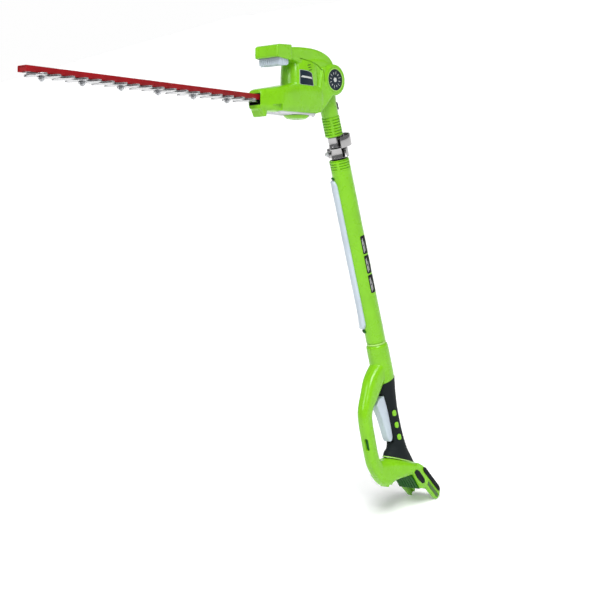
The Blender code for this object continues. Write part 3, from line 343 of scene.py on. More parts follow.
class Look:
    """A Principled material with its texture nodes, in the object's own coordinates."""

    def __init__(self, name, roughness, metallic=0.0, coat=0.0, specular=0.5):
        self.material = bpy.data.materials.new(name)
        self.material.use_nodes = True
        self.tree = self.material.node_tree
        self.shader = self.tree.nodes["Principled BSDF"]
        self.shader.inputs["Roughness"].default_value = roughness
        self.shader.inputs["Metallic"].default_value = metallic
        self.shader.inputs["Coat Weight"].default_value = coat
        self.shader.inputs["Coat Roughness"].default_value = 0.12
        self.shader.inputs["Specular IOR Level"].default_value = specular
        self.place = self.tree.nodes.new("ShaderNodeTexCoord").outputs["Object"]

    def node(self, kind, **values):
        made = self.tree.nodes.new(kind)
        for key, value in values.items():
            if hasattr(made, key):
                setattr(made, key, value)
            else:
                made.inputs[key.replace("_", " ")].default_value = value
        return made

    def link(self, out, into):
        self.tree.links.new(out, into)

    def stretched(self, scale):
        mapping = self.node("ShaderNodeMapping")
        mapping.inputs["Scale"].default_value = scale
        self.link(self.place, mapping.inputs["Vector"])
        return mapping.outputs["Vector"]

    def noise(self, scale, detail=4.0, stretch=None, roughness=0.55):
        made = self.node("ShaderNodeTexNoise", Scale=scale, Detail=detail, Roughness=roughness)
        self.link(self.stretched(stretch) if stretch else self.place, made.inputs["Vector"])
        return made.outputs["Fac"]

    def ranged(self, value, low, high, to_low, to_high):
        made = self.node("ShaderNodeMapRange")
        for key, number in zip(("From Min", "From Max", "To Min", "To Max"), (low, high, to_low, to_high)):
            made.inputs[key].default_value = number
        self.link(value, made.inputs["Value"])
        return made.outputs["Result"]

    def ramp(self, value, stops):
        made = self.node("ShaderNodeValToRGB")
        ramp = made.color_ramp
        while len(ramp.elements) < len(stops):
            ramp.elements.new(0.5)
        for element, (at, colour) in zip(ramp.elements, stops):
            element.position = at
            element.color = (*colour, 1.0)
        self.link(value, made.inputs["Fac"])
        return made.outputs["Color"]

    def colour(self, out):
        self.link(out, self.shader.inputs["Base Color"])

    def rough(self, value, low, high):
        self.link(self.ranged(value, 0.3, 0.7, low, high), self.shader.inputs["Roughness"])

    def bump(self, value, strength, distance):
        made = self.node("ShaderNodeBump", Strength=strength, Distance=distance)
        self.link(value, made.inputs["Height"])
        self.link(made.outputs["Normal"], self.shader.inputs["Normal"])


def shade(colour, factor):
    return tuple(min(1.0, c * factor) for c in colour)


def moulded(name, colour, roughness, grain=1400, depth=0.00003, spread_by=0.06, coat=0.0, specular=0.5):
    """Moulded plastic: faint flow mottling, a fine pebbled grain and uneven gloss."""
    look = Look(name, roughness, coat=coat, specular=specular)
    slow = look.noise(22, 3)
    look.colour(look.ramp(slow, [(0.3, shade(colour, 1 - spread_by)), (0.7, shade(colour, 1 + spread_by))]))
    look.rough(look.noise(60, 4), roughness * 0.88, roughness * 1.15)
    look.bump(look.noise(grain, 2), 0.25, depth)
    return look.material


def rubber(name, colour, roughness=0.6, dots=420):
    """Soft-touch rubber with a dimpled grip texture and a dusty bloom."""
    look = Look(name, roughness, specular=0.1)
    bloom = look.noise(35, 5)
    look.colour(look.ramp(bloom, [(0.3, colour), (0.75, shade(colour, 1.5))]))
    look.rough(bloom, roughness * 0.85, min(1.0, roughness * 1.15))
    cells = look.node("ShaderNodeTexVoronoi", Scale=dots)
    look.link(look.place, cells.inputs["Vector"])
    look.bump(cells.outputs["Distance"], 0.35, 0.00008)
    return look.material


def metal(name, colour, roughness, stretch, scale=320, wear=0.12, depth=0.00001):
    """Worked metal with machining streaks drawn out along one direction."""
    look = Look(name, roughness, metallic=1.0)
    streaks = look.noise(scale, 6, stretch, 0.6)
    slow = look.noise(40, 3)
    look.colour(look.ramp(slow, [(0.3, shade(colour, 1 - wear)), (0.7, colour)]))
    look.rough(streaks, roughness * 0.7, roughness * 1.35)
    look.bump(streaks, 0.3, depth)
    return look.material


def circuit(name):
    """Green laminate with a grid of copper tracks."""
    look = Look(name, 0.45)
    bricks = look.node("ShaderNodeTexBrick", Scale=160.0)
    bricks.inputs["Color1"].default_value = (0.01, 0.12, 0.04, 1)
    bricks.inputs["Color2"].default_value = (0.02, 0.17, 0.06, 1)
    bricks.inputs["Mortar"].default_value = (0.45, 0.33, 0.12, 1)
    look.link(look.place, bricks.inputs["Vector"])
    look.colour(bricks.outputs["Color"])
    look.bump(bricks.outputs["Fac"], 0.3, 0.00005)
    return look.material


def banded(name):
    """A motor can's zinc plating with rolled bands."""
    look = Look(name, 0.3, metallic=1.0)
    wave = look.node("ShaderNodeTexWave", Scale=60.0, Distortion=0.6)
    look.link(look.place, wave.inputs["Vector"])
    look.colour(look.ramp(wave.outputs["Fac"], [(0.2, (0.4, 0.41, 0.43)), (0.8, (0.66, 0.67, 0.7))]))
    look.rough(look.noise(200, 4), 0.22, 0.4)
    look.bump(wave.outputs["Fac"], 0.2, 0.00005)
    return look.material


GREEN = moulded("green_moulding", (0.185, 0.50, 0.003), 0.28, coat=0.3, specular=0.3)
# Pale green: the own colour of the pole seal and the hub collars, and a painted highlight along the grip's
# foot.
PALE_GREEN_AND_HIGHLIGHT = moulded("pale_green_moulding", (0.36, 0.64, 0.13), 0.4)
# Dark green painted shade: it darkens the lips at the hand pad's ends, the cradle's inside and the guard
# recess floor; the terminal block takes the same colour.
SHADE_GREEN = moulded("deep_green_moulding", (0.008, 0.085, 0.007), 0.42, specular=0.2)
# Dark olive: painted shade at the bottom of the cradle's rail grooves.
SHADE_OLIVE = moulded("olive_moulding", (0.05, 0.13, 0.02), 0.5)
GREY = moulded("grey_soft_moulding", (0.48, 0.55, 0.62), 0.45, grain=900, depth=0.00006)
# Black: the own colour of the collet, catch, nose lining, lock button and switch, and painted shade in the
# head's vents.
BLACK_AND_SHADE = moulded("black_moulding", (0.007, 0.008, 0.009), 0.36, spread_by=0.2, specular=0.15)
SLATE = moulded("slate_moulding", (0.012, 0.021, 0.033), 0.34, spread_by=0.15, specular=0.15)
INK = moulded("label_film", (0.005, 0.006, 0.006), 0.4, grain=2500, spread_by=0.2, specular=0.12)
PRINT = moulded("label_print", (0.50, 0.52, 0.50), 0.4, grain=2500)
RUBBER = rubber("black_rubber", (0.008, 0.011, 0.012))
CABLE = rubber("cable_jacket", (0.012, 0.012, 0.013), 0.5, 900)
CHROME = metal("chrome_plate", (0.42, 0.41, 0.41), 0.14, (1, 1, 14), 240, 0.06, 0.000004)
STEEL = metal("bright_steel", (0.60, 0.61, 0.63), 0.3, (1, 1, 10))
BLADE = metal("ground_blade", (0.50, 0.50, 0.51), 0.24, (1, 12, 1), 420, 0.16)
CAST = metal("cast_aluminium", (0.66, 0.67, 0.69), 0.42, (1, 1, 1), 700, 0.1, 0.00004)
TUBE = metal("drawn_aluminium", (0.42, 0.43, 0.44), 0.2, (6, 6, 0.4), 300, 0.06)
COPPER = metal("copper_contact", (0.72, 0.38, 0.2), 0.3, (1, 1, 8), 500, 0.2)
RED = moulded("red_powder_coat", (0.26, 0.006, 0.009), 0.4, grain=1800, depth=0.00005, spread_by=0.14,
              specular=0.2)
BOARD = circuit("circuit_laminate")
CAN = banded("zinc_can")


def screw(name, place, body, radius=3.0):
    """A pan-head screw with a hexagonal socket, its head towards local -z."""
    head = turned([(0, 0.6), (radius, 0.6), (radius, -0.5), (radius * 0.82, -1.25), (radius * 0.5, -1.55),
                   (0, -1.6)], 32)
    socket = turned([(radius * 0.45, -3), (radius * 0.45, -0.3)], 6)
    piece(name, combine(head, [socket]), STEEL, body, place=place)


def side_screws(name, spots, base, body):
    """Screws through the left flank, their axes across the object."""
    for k, at in enumerate(spots):
        place = base @ Matrix.Translation(at) @ Matrix.Rotation(-math.pi / 2, 4, "X")
        screw("%s_%d" % (name, k + 1), place, body, 2.8)


# ---------------------------------------------------------------- pole

POLE_RADIUS = 19.5
POLE_BOTTOM = -202
POLE_TOP = 174
# Each bar of the label as (angle on the pole, start, end), the last two from the panel's foot.
LABEL_BARS = ((260, 3, 30), (264.5, 5, 16), (264.5, 19, 32), (271, 6, 25))


def ribs(bottom, count, pitch, radius, depth):
    """Rounded ribs, as (radius, height) from the bottom up."""
    points = []
    for i in range(count):
        start = bottom + i * pitch
        for share, sink in ((0.0, 0.25), (0.08, 0.0), (0.5, 0.0), (0.58, 0.3), (0.66, 0.85), (0.74, 1.0),
                            (0.86, 1.0), (0.94, 0.7)):
            points.append((radius - depth * sink, start + share * pitch))
    return points


def turned_bar(angle, inner, outer, low, high, width):
    """An upright land on a ribbed round part, at an angle about its axis."""
    bar_form = soften(box((inner, -width / 2, low), (outer, width / 2, high)), 0.5)
    return moved(bar_form, Matrix.Rotation(math.radians(angle), 4, "Z"))


def make_pole():
    r = POLE_RADIUS
    outside = [(17.4, POLE_BOTTOM - 35), (17.4, POLE_BOTTOM), (r - 1.7, POLE_BOTTOM),
               (r - 0.9, POLE_BOTTOM + 0.7), (r - 0.3, POLE_BOTTOM + 2.2), (r, POLE_BOTTOM + 4.5), (r, 0),
               (r, 150), (r - 0.1, 152.4)]
    outside += ribs(153, 4, 5.0, r, 2.2)
    outside += [(r - 0.5, POLE_TOP - 0.9), (r - 1.2, POLE_TOP - 0.2), (16.6, POLE_TOP),
                (16.6, POLE_BOTTOM - 35)]
    lands = [turned_bar(angle, 17.0, r - 0.05, 152.6, 172.6, 5.5) for angle in (-62, 28, 118, 208)]
    skin = combine(turned(outside, 96, ring=True), lands, "UNION")
    piece("pole_skin", skin, GREEN, ROOT, ["outer_pole"])
    ring = [(17.6, POLE_BOTTOM - 3.6), (18.7, POLE_BOTTOM - 3.6), (19.3, POLE_BOTTOM - 2.8),
            (19.3, POLE_BOTTOM - 1.2), (18.8, POLE_BOTTOM - GAP), (17.6, POLE_BOTTOM - GAP)]
    piece("pole_seal", turned(ring, 96, ring=True), PALE_GREEN_AND_HIGHLIGHT, ROOT, ["pole_ring"])
    bush = [(11.3, 104), (16.3, 104), (16.3, 171.5), (15.6, 172.8), (12.3, 175), (12.3, 218.5), (11.3, 218.5)]
    slits = [box((-20, -0.7, 176), (20, 0.7, 230)), box((-0.7, -20, 176), (0.7, 20, 230))]
    piece("collet", combine(turned(bush, 64, ring=True), slits), BLACK_AND_SHADE, ROOT, ["collet_bush"])


def wrapped(bottom, top, inner, thick, middle, half_angle, end_round, edge, across=28, flare=0.0, crown=4,
            steps=18):
    """A plate bent round the pole: round ends, a crowned section and, if asked, a flared foot."""
    levels = []
    for i in range(10):
        share = math.sin(math.pi / 2 * i / 9)
        levels.append((bottom + end_round * (1 - math.cos(math.pi / 2 * i / 9)), 0.2 + 0.8 * share))
    upper = [(top - (level - bottom), share) for level, share in reversed(levels)]
    start, end = levels[-1][0], upper[0][0]
    middle_rows = [(start + (end - start) * k / steps, 1.0) for k in range(1, steps)]
    form = bmesh.new()
    grids = []
    for skin in (0, 1):
        rows = []
        for level, share in levels + middle_rows + upper:
            row = []
            for j in range(-across, across + 1):
                u = j / across
                turn = math.radians(middle + half_angle * share * u)
                tip = min(1.0, (level - bottom) / 4 + 0.35, (top - level) / 4 + 0.35)
                depth = thick * (edge + (1 - edge) * max(0.0, 1 - abs(u) ** crown) ** 0.5) * tip
                depth *= 1 + flare * max(0.0, 1 - (level - bottom) / 42) ** 2
                radius = inner + skin * depth
                row.append(form.verts.new((radius * math.cos(turn), radius * math.sin(turn), level)))
            rows.append(row)
        grids.append(rows)
    low, high = grids
    last = 2 * across
    for i in range(len(low) - 1):
        for j in range(last):
            form.faces.new((low[i][j], low[i][j + 1], low[i + 1][j + 1], low[i + 1][j]))
            form.faces.new((high[i][j], high[i + 1][j], high[i + 1][j + 1], high[i][j + 1]))
        for j in (0, last):
            form.faces.new((low[i][j], low[i + 1][j], high[i + 1][j], high[i][j]))
    for i in (0, len(low) - 1):
        for j in range(last):
            form.faces.new((low[i][j], low[i][j + 1], high[i][j + 1], high[i][j]))
    bmesh.ops.recalc_face_normals(form, faces=form.faces)
    return form


def make_pole_trim():
    pad = wrapped(-170, 136, POLE_RADIUS + 0.15, 5.6, 138, 41, 14, 0.25, flare=0.45)
    piece("hand_pad", pad, GREY, ROOT, ["pole_pad"])
    # Dark green bands at the pad's two ends: painted shade where the pad's edge meets the pole.
    for name, low, high in (("pad_clip_lower", -178.5, -170.5), ("pad_clip_upper", 136.6, 141.5)):
        edge_shade = wrapped(low, high, POLE_RADIUS + 0.05, 3.2, 138, 30, 2.5, 0.3, across=16, steps=4)
        piece(name, edge_shade, SHADE_GREEN, ROOT)
    for k, (low, high) in enumerate(((-18, 19), (-58, -21), (-98, -61))):
        film = wrapped(low, high, POLE_RADIUS + 0.12, 0.3, 274, 22, 1.6, 1.0, across=12, steps=6)
        piece("label_film_%d" % (k + 1), film, INK, ROOT, ["pole_label"] if k == 0 else ())
        for j, (middle, start, end) in enumerate(LABEL_BARS):
            strip = wrapped(low + start, low + end, POLE_RADIUS + 0.40, 0.14, middle, 1.3, 0.5, 1.0,
                            across=6, steps=4)
            piece("label_bar_%d_%d" % (k + 1, j + 1), strip, PRINT, ROOT)


# ---------------------------------------------------------------- clamp

CLAMP_PIN = Vector((16.0, 17.0, 0))


def bent(radius_at, start, end, thick, low, high, steps=60):
    """A curved plate about z, its radius a function of the angle."""
    turns = [math.radians(start + (end - start) * i / steps) for i in range(steps + 1)]
    rows = []
    for inset in (0, thick):
        polar = [(radius_at(t) - inset, t) for t in turns]
        rows.append([(radius * math.cos(t), radius * math.sin(t)) for radius, t in polar])
    outer, inner = rows
    return soften(prism(outer + inner[::-1], low, high, "Z"), 0.45, 2, 40)


def tall_radius(turn):
    """The cam lever's upper plate, flared at its tip."""
    degrees = math.degrees(turn)
    swell = min(1.0, (47 - degrees) / 50)
    flare = max(0.0, (-100 - degrees) / 20)
    return 24 + 6.5 * math.sin(swell * math.pi / 2) + 2.5 * flare**2


def low_radius(turn):
    """The cam lever's lower plate."""
    return 21.2 + 6.5 * max(0.0, (math.degrees(turn) + 20) / 61) ** 1.5


def make_clamp():
    """The quick-release clamp: two bands, the eye bolt and the cam lever."""
    inner, outer = 12.65, 13.85
    for name, low, high in (("clamp_band_lower", 176.5, 196.5), ("clamp_band_upper", 198.5, 218.5)):
        profile = [(inner, low), (outer - 0.4, low), (outer, low + 0.4), (outer, low + 1.6),
                   (outer - 0.35, low + 2.2), (outer - 0.35, high - 2.2), (outer, high - 1.6),
                   (outer, high - 0.4), (outer - 0.4, high), (inner, high)]
        ring = combine(turned(profile, 96, ring=True), [box((-2, 0, low - 1), (2, 30, high + 1))])
        if name == "clamp_band_lower":
            ears = [soften(box((x, 12.9, low + 0.5), (x + 2.1, 22, high - 0.5)), 0.5) for x in (-4.2, 2.1)]
            ring = combine(ring, ears, "UNION")
            ring = combine(ring, [disc(2.3, -12, 12, "X", (0, 17, 186.5))])
        piece(name + "_skin", ring, CHROME, ROOT, [name])
    level = 186.5
    bolt = soften(turned([(2.8, level - 4), (5.0, level - 4), (5.0, level + 4), (2.8, level + 4)], 48,
                         ring=True), 0.4)
    shank = [(0, -17), (1.5, -17)]
    for i in range(14):
        shank += [(2.0, -16.6 + 0.7 * i), (1.65, -16.25 + 0.7 * i)]
    shank += [(2.0, -6.5), (2.0, 12.3), (0, 12.3)]
    bolt = combine(aim(bolt, "Z", CLAMP_PIN), [aim(turned(shank, 24), "X", (0, 17, level))], "UNION")
    piece("eye_bolt", bolt, STEEL, ROOT, ["clamp_bolt"])
    nut = turned([(2.3, -13), (4.0, -13), (4.9, -12.2), (4.9, -8.2), (4.3, -7.5), (2.3, -7.5)], 6, ring=True)
    piece("flange_nut", soften(aim(nut, "X", (0, 17, level)), 0.25), STEEL, ROOT, ["clamp_nut"], sharp=20)
    pin = turned([(0, 175), (2.9, 175), (3.4, 175.5), (3.4, 176.2), (2.4, 176.2), (2.4, 218.8),
                  (3.4, 218.8), (3.4, 219.6), (2.9, 220), (0, 220)], 32)
    piece("cam_pin", aim(pin, "Z", CLAMP_PIN), STEEL, ROOT, ["clamp_pin"])
    boss = soften(disc(5.6, 176.5, 218.5, "Z", CLAMP_PIN, 48), 0.5)
    tall = bent(tall_radius, 38, -122, 1.5, 198, 219.3)
    low_plate = bent(low_radius, 41, -84, 1.5, 177.1, 199)
    bridge = bent(lambda turn: 25.5, 33, 8, 5.2, 195, 201.5, 16)
    lever = combine(boss, [tall, low_plate, bridge], "UNION")
    lever = combine(lever, [disc(6.4, level - 4.3, level + 4.3, "Z", CLAMP_PIN, 40),
                            disc(2.7, 170, 225, "Z", CLAMP_PIN, 32)])
    piece("cam_lever", lever, CHROME, "lever", ["clamp_lever"])


# ---------------------------------------------------------------- neck


def make_neck():
    """The ribbed neck, its knuckle, the telescoping tube and the catch."""
    foot = 219.5
    points = [(0, foot), (15.2, foot), (16.2, foot + 0.6)]
    points += ribs(foot + 1.2, 7, 5.4, 17.4, 2.6)
    points += [(16.0, foot + 40), (16.6, foot + 42), (16.6, PIVOT.z - 45), (17.7, PIVOT.z - 30),
               (17.7, PIVOT.z - 12), (0, PIVOT.z - 12)]
    column = turned(points, 80)
    knuckle = turned([(0, -18.2), (26.3, -18.2), (27.5, -17.0), (27.5, 17.0), (26.3, 18.2), (0, 18.2)], 96)
    low, high = PIVOT.z - 44, PIVOT.z - 6
    web = loft([oval((0, 0, low + (high - low) * t), (16.8 + 7.2 * t**1.4, 0, 0), (0, 16.8 - 1.2 * t, 0),
            64, 2 + t)
                for t in [i / 12 for i in range(13)]])
    lands = [turned_bar(angle, 14.0, 16.9, foot + 1.5, foot + 39, 5.5) for angle in (-49, 41, 131, 221)]
    whole = combine(column, [aim(knuckle, "Y", PIVOT), web] + lands, "UNION")
    cuts = [
        disc(11.3, foot - 5, PIVOT.z - 33.7),
        disc(19.5, -15, 15, "Y", PIVOT),
        disc(4.3, -30, 30, "Y", PIVOT),
        disc(33, -3.3, 3.3, "Y", PIVOT),
        box((10, -3.3, 265.7), (40, 3.3, 281.3)),
    ]
    for side in (-1, 1):
        groove = turned([(21.5, side * 17.6), (22.7, side * 17.6), (22.7, side * 20), (21.5, side * 20)],
                        64, ring=True)
        cuts.append(aim(groove, "Y", PIVOT))
    paired("neck", "neck_shell", combine(whole, cuts), GREEN, NECK)
    tube = [(9.5, -150), (10.6, -150), (11.0, -149.4), (11.0, 293.4), (9.5, 293.4)]
    piece("telescope_tube", turned(tube, 80, ring=True), TUBE, NECK, ["inner_tube"])
    catch = [(13.6, 266), (25.4, 266), (26.5, 267.6), (26.3, 270), (25.4, 272), (26.1, 274.5), (25.2, 280),
             (24.2, 281), (13.6, 281)]
    piece("catch_button", soften(prism(catch, -3, 3), 0.5, 2, 50), BLACK_AND_SHADE, "catch", ["neck_catch"])


# ---------------------------------------------------------------- head


def body_form():
    rings = []
    stations = ((30, -24, -58, 29, 4.0), (40, -14, -67, 31.5, 4.5), (70, -12, -69, 32, 5.0),
                (110, -17, -70, 32, 5.0), (140, -23, -71, 31, 4.6), (157, -26.5, -71, 26.8, 4.6),
                (173, -29.5, -71.5, 20.5, 4.6), (182, -31.5, -70, 17.5, 4.8), (187, -34, -68, 15.5, 4.8))
    for along, top, bottom, half, power in spread(stations, 80):
        rings.append(oval((-along, 0, (top + bottom) / 2), (0, half, 0), (0, 0, (top - bottom) / 2), 64,
                          power))
    return loft(rings)


def tower_form(grow=0.0):
    rings = []
    stations = ((-30, 30, 103, 28), (-10, 30, 103, 28), (10, 30.5, 102.5, 27.6), (24, 33, 101, 26.2),
                (32, 38, 99, 24), (37, 44, 95, 20))
    for up, rear, front, half in spread(stations, 40):
        depth = (front - rear) / 2 + grow
        rings.append(oval((-(rear + front) / 2, 0, up + grow * (up > 30)), (depth, 0, 0),
                          (0, half + grow, 0), 96, 2.5))
    return loft(rings)


def panel_outline():
    """The raised panel on each side of the tower."""
    corners = [(-95, -16), (-95, 26), (-90, 31), (-67, 28), (-46, 24), (-35, 17), (-30.5, 8), (-29.5, -8),
               (-29.5, -30), (-95, -30)]
    return round_corners(corners, 7, 5)


def grown(outline, by):
    """An outline pushed outward by the same distance all round."""
    count = len(outline)
    area = sum(outline[k - 1][0] * outline[k][1] - outline[k][0] * outline[k - 1][1] for k in range(count))
    points = []
    for k in range(count):
        before = (Vector(outline[k]) - Vector(outline[k - 1])).normalized()
        after = (Vector(outline[(k + 1) % count]) - Vector(outline[k])).normalized()
        way = (before + after).normalized()
        normal = Vector((way.y, -way.x)) * (1 if area > 0 else -1)
        points.append(tuple(Vector(outline[k]) + normal * by))
    return points


def spine_form():
    top = [(-2, 33), (8, 42), (20, 47.5), (38, 52), (62, 54), (90, 53), (112, 51), (128, 49.5)]
    low = [(128, 30), (104, 26), (60, 16), (30, 8), (14, 10), (-2, 18)]
    outline = [(-a, n) for a, n in spread(top, 40)] + [(-a, n) for a, n in low]
    return soften(prism(outline, -24.5, 24.5), 6.5, 4, 60)


def cheek_form():
    """The flanks that reach from the tower back to the ears and down to the heel."""
    outline = [(-74, 30), (-56, 34), (-26, 36), (-2, 28), (-2, -26), (-20, -47), (-38, -65.5), (-44, -64),
               (-74, -40)]
    return soften(prism(outline, -25.4, 25.4), 3.0, 3, 60)


def beak_form():
    corners = [(-119, 53.8), (-153, 51.6), (-157.5, 48.5), (-157.5, 29.5), (-155.5, 27.8), (-119, 25)]
    return soften(prism(corners, -29, 29), 2.6, 3, 20)


def neck_sweep():
    """The room that the neck passes through as the head tilts."""
    turn = math.radians(36)
    way = Vector((-math.cos(turn), math.sin(turn)))
    across = Vector((math.sin(turn), math.cos(turn)))
    walls = ((26.8, 0), (26.8, 8), (19.2, 35), (19.2, 130))
    upper = [tuple(across * side + way * reach) for side, reach in walls]
    outline = [(19.2, -140), (19.2, -35), (26.8, -8), (26.8, 0)] + upper + [(-140, -140)]
    return prism([(-along, up) for along, up in outline], -18.9, 18.9)


def ear_form():
    r, h = 29.5, 31.5
    return aim(turned([(0, -h), (r - 3.5, -h), (r - 1.2, -h + 1), (r, -h + 3.2), (r, h - 3.2),
                       (r - 1.2, h - 1), (r - 3.5, h), (0, h)], 96), "Y")


FLANK_RECESS = [(-169, -67), (-165, -59), (-145, -57), (-139, -77), (-167, -77)]
PLATE = [(-92.5, 11.8), (-73, 10.2), (-63.5, 7), (-58, -17.6), (-92.5, -16.8)]


def make_head_shells():
    outline = panel_outline()
    panels = [combine(tower_form(1.3), [prism(outline, *sorted((s * 8, s * 40)))],
                      "INTERSECT") for s in (-1, 1)]
    heel = soften(prism([(-4, 26), (-34, 20), (-42, -20), (-46, -62), (-38, -66), (-20, -49), (-2, -29)],
                        -29.8, 29.8), 3.5, 3, 60)
    flange = soften(prism([(-186.4, -60), (-175.5, -81.5), (-171, -81.5), (-167, -60)], -15.2, 15.2), 1.6,
                    3, 50)
    whole = fuse([body_form(), tower_form(), spine_form(), cheek_form(), beak_form(), ear_form(), heel,
            flange]
            + panels, 0.85, 5)
    cuts = [
        neck_sweep(),
        disc(28.3, -18.7, 18.7, "Y"),
        disc(4.4, -60, 60, "Y"),
        soften(box((-220, -14.2, -61.2), (-150, 14.2, -39.8)), 1.5, 3),
        prism(rounded(-146, -24, -44, 24, 6), -76, -60, "Z"),
        *(soften(prism(FLANK_RECESS, low, high), 1.6, 3, 20) for low, high in ((-60, -23.8), (23.8, 60))),
        box((-154.4, -26.4, 10), (-124.6, 26.4, 35)),
        box((-146, -7, 30), (-133, 7, 47)),
        disc(20.2, -29, 27, "Z", (-55.4, 0, 0)),
        disc(28.5, -62, -27, "Z", (-88, 0, 0)),
        box((-152, -20, -62), (-53, 20, -44)),
    ]
    plate = round_corners(PLATE, 2.5, 4)
    groove = combine(prism(grown(outline, 1.7), -40, 40), [
        prism(outline, -50, 50),
        box((-99, -60, -60), (0, 60, -6)),
        tower_form(-0.9),
        box((-99, -60, -60), (-92, 60, 60)),
    ])
    cuts.append(groove)
    for side in (-1, 1):
        low, high = sorted((side * 21.8, side * 60))
        cuts.append(disc(20.3, low, high, "Y"))
        low, high = sorted((side * 8, side * 40))
        cuts.append(combine(prism(plate, low, high), [tower_form(0.7)]))
        ring = turned([(23.6, side * 31.0), (24.4, side * 31.0), (24.4, side * 34), (23.6, side * 34)], 96,
                      ring=True)
        cuts.append(aim(ring, "Y"))
    paired("head", "head_shell", combine(whole, cuts), GREEN, HEAD_BODY)


def make_head_trim():
    for word, side in SIDES:
        face = [(0, 28.4), (19.9, 28.4), (19.9, 30.6), (19.4, 31.2), (17.4, 31.2), (17.0, 30.6),
                (10.2, 30.6), (9.6, 31.1), (6.6, 31.1), (6.2, 30.6), (0, 30.6)]
        cap = turned(face, 96)
        if side < 0:
            moved(cap, Matrix.Scale(-1, 4, (0, 0, 1)))
            bmesh.ops.reverse_faces(cap, faces=cap.faces)
        piece("hub_cap_" + word + "_skin", aim(cap, "Y"), SLATE, HEAD_BODY, ["hub_cap_" + word])
        spokes = []
        for k in range(12):
            reach = 16.2 if k % 2 else 14.6
            half = 0.45 if k % 2 else 0.7
            low, high = sorted((side * 30.45, side * 31.0))
            spoke = prism([(10.6, -half), (reach, -half * 0.6), (reach, half * 0.6), (10.6, half)], low, high)
            spokes.append(moved(spoke, Matrix.Rotation(math.radians(30 * k + 8), 4, "Y")))
        hub = turned([(0, side * 30.4), (4.6, side * 30.4), (4.6, side * 31.2), (3.9, side * 31.5),
                      (0, side * 31.5)], 6)
        spokes.append(aim(hub, "Y"))
        piece("hub_mark_" + word, merged(spokes), PRINT, HEAD_BODY)
        collar = turned([(20.3, side * 29.0), (21.4, side * 29.0), (21.4, side * 31.7), (20.9, side * 31.9),
                         (20.3, side * 31.6)], 96, ring=True)
        piece("hub_collar_" + word, aim(collar, "Y"), PALE_GREEN_AND_HIGHLIGHT, HEAD_BODY)
        low, high = sorted((side * 8, side * 40))
        outline = round_corners(PLATE, 2.5, 4)
        centre = Vector((-76, -3))

        def wrap(points, under, over):
            form = combine(tower_form(over), [prism(points, low, high)], "INTERSECT")
            return combine(form, [tower_form(under)])

        outer, inner, face = (
            [tuple(centre + (Vector(p) - centre) * share) for p in outline] for share in (0.975, 0.945, 0.938)
        )
        rim = combine(wrap(outer, 0.75, 1.35), [prism(inner, low, high)])
        piece("plate_rim_" + word, rim, PRINT, HEAD_BODY)
        piece("plate_face_" + word, wrap(face, 0.75, 1.15), SLATE, HEAD_BODY, ["side_plate_" + word])
        stripe = [(-90.5, -2.8), (-87, 0.4), (-66, -1.0), (-62.5, -4.4), (-84, -3.2)]
        # Three black slabs over the vent slots: painted shade in the vents.
        for k in range(3):
            at = Vector((-70.5 + 1.4 * k, 21.5 - 4.6 * k))
            slit = [tuple(at + Vector(p)) for p in ((-4.6, -2.1), (4.0, 0.1), (4.6, 1.7), (-4.0, -0.5))]
            piece("vent_%s_%d" % (word, k + 1), wrap(slit, 1.0, 1.36), BLACK_AND_SHADE, HEAD_BODY)
        piece("plate_stripe_" + word, wrap(stripe, 1.1, 1.3), PRINT, HEAD_BODY)
    liner = combine(prism(rounded(-13.9, -60.9, 13.9, -40.1, 1.5), -186.6, -168, "X"),
                    [prism(rounded(-12.6, -59.6, 12.6, -41.4, 1.2), -200, -160, "X")])
    piece("nose_lining", soften(liner, 0.3, 2, 60), BLACK_AND_SHADE, HEAD_BODY, ["nose_liner"])
    rim = [(0, -71.8), (23.2, -71.8), (24, -72.4), (23.6, -73.2), (21.0, -75.6), (17.6, -77.7), (15, -78.3),
           (0, -78.5)]
    cover = turned(rim, 80)
    cuts = [box((-1.2, -14, -80), (1.2, 14, -77.6)), box((-14, -1.2, -80), (14, 1.2, -77.6))]
    piece("gear_dome", aim(combine(cover, cuts), "Z", (-75, 0, 0)), GREEN, HEAD_BODY, ["gear_cover"])
    case = soften(prism(rounded(-145.7, -23.7, -44.3, 23.7, 6), -71.5, -66.5, "Z"), 0.8, 2, 60)
    ribs_made = [soften(box((-142, y - 0.9, -72.6), (-102, y + 0.9, -70)), 0.4) for y in (-14, -7, 0, 7, 14)]
    case = combine(case, ribs_made, "UNION")
    case = combine(case, [disc(9.4, -80, -60, "Z", (-88, 0, 0))])
    piece("case_plate", case, CAST, HEAD_BODY, ["gear_case"])
    for k, (x, y) in enumerate(((-141, -19), (-141, 19), (-49, -19), (-49, 19))):
        screw("case_screw_%d" % (k + 1), HEAD @ Matrix.Translation((x, y, -71.6)), HEAD_BODY, 2.6)
    spots = ((-50, 31.6, -57), (-128, 31.2, -60), (-20, 29.9, -38), (-112, 24.6, 40))
    side_screws("head_screw", spots, HEAD, HEAD_BODY)


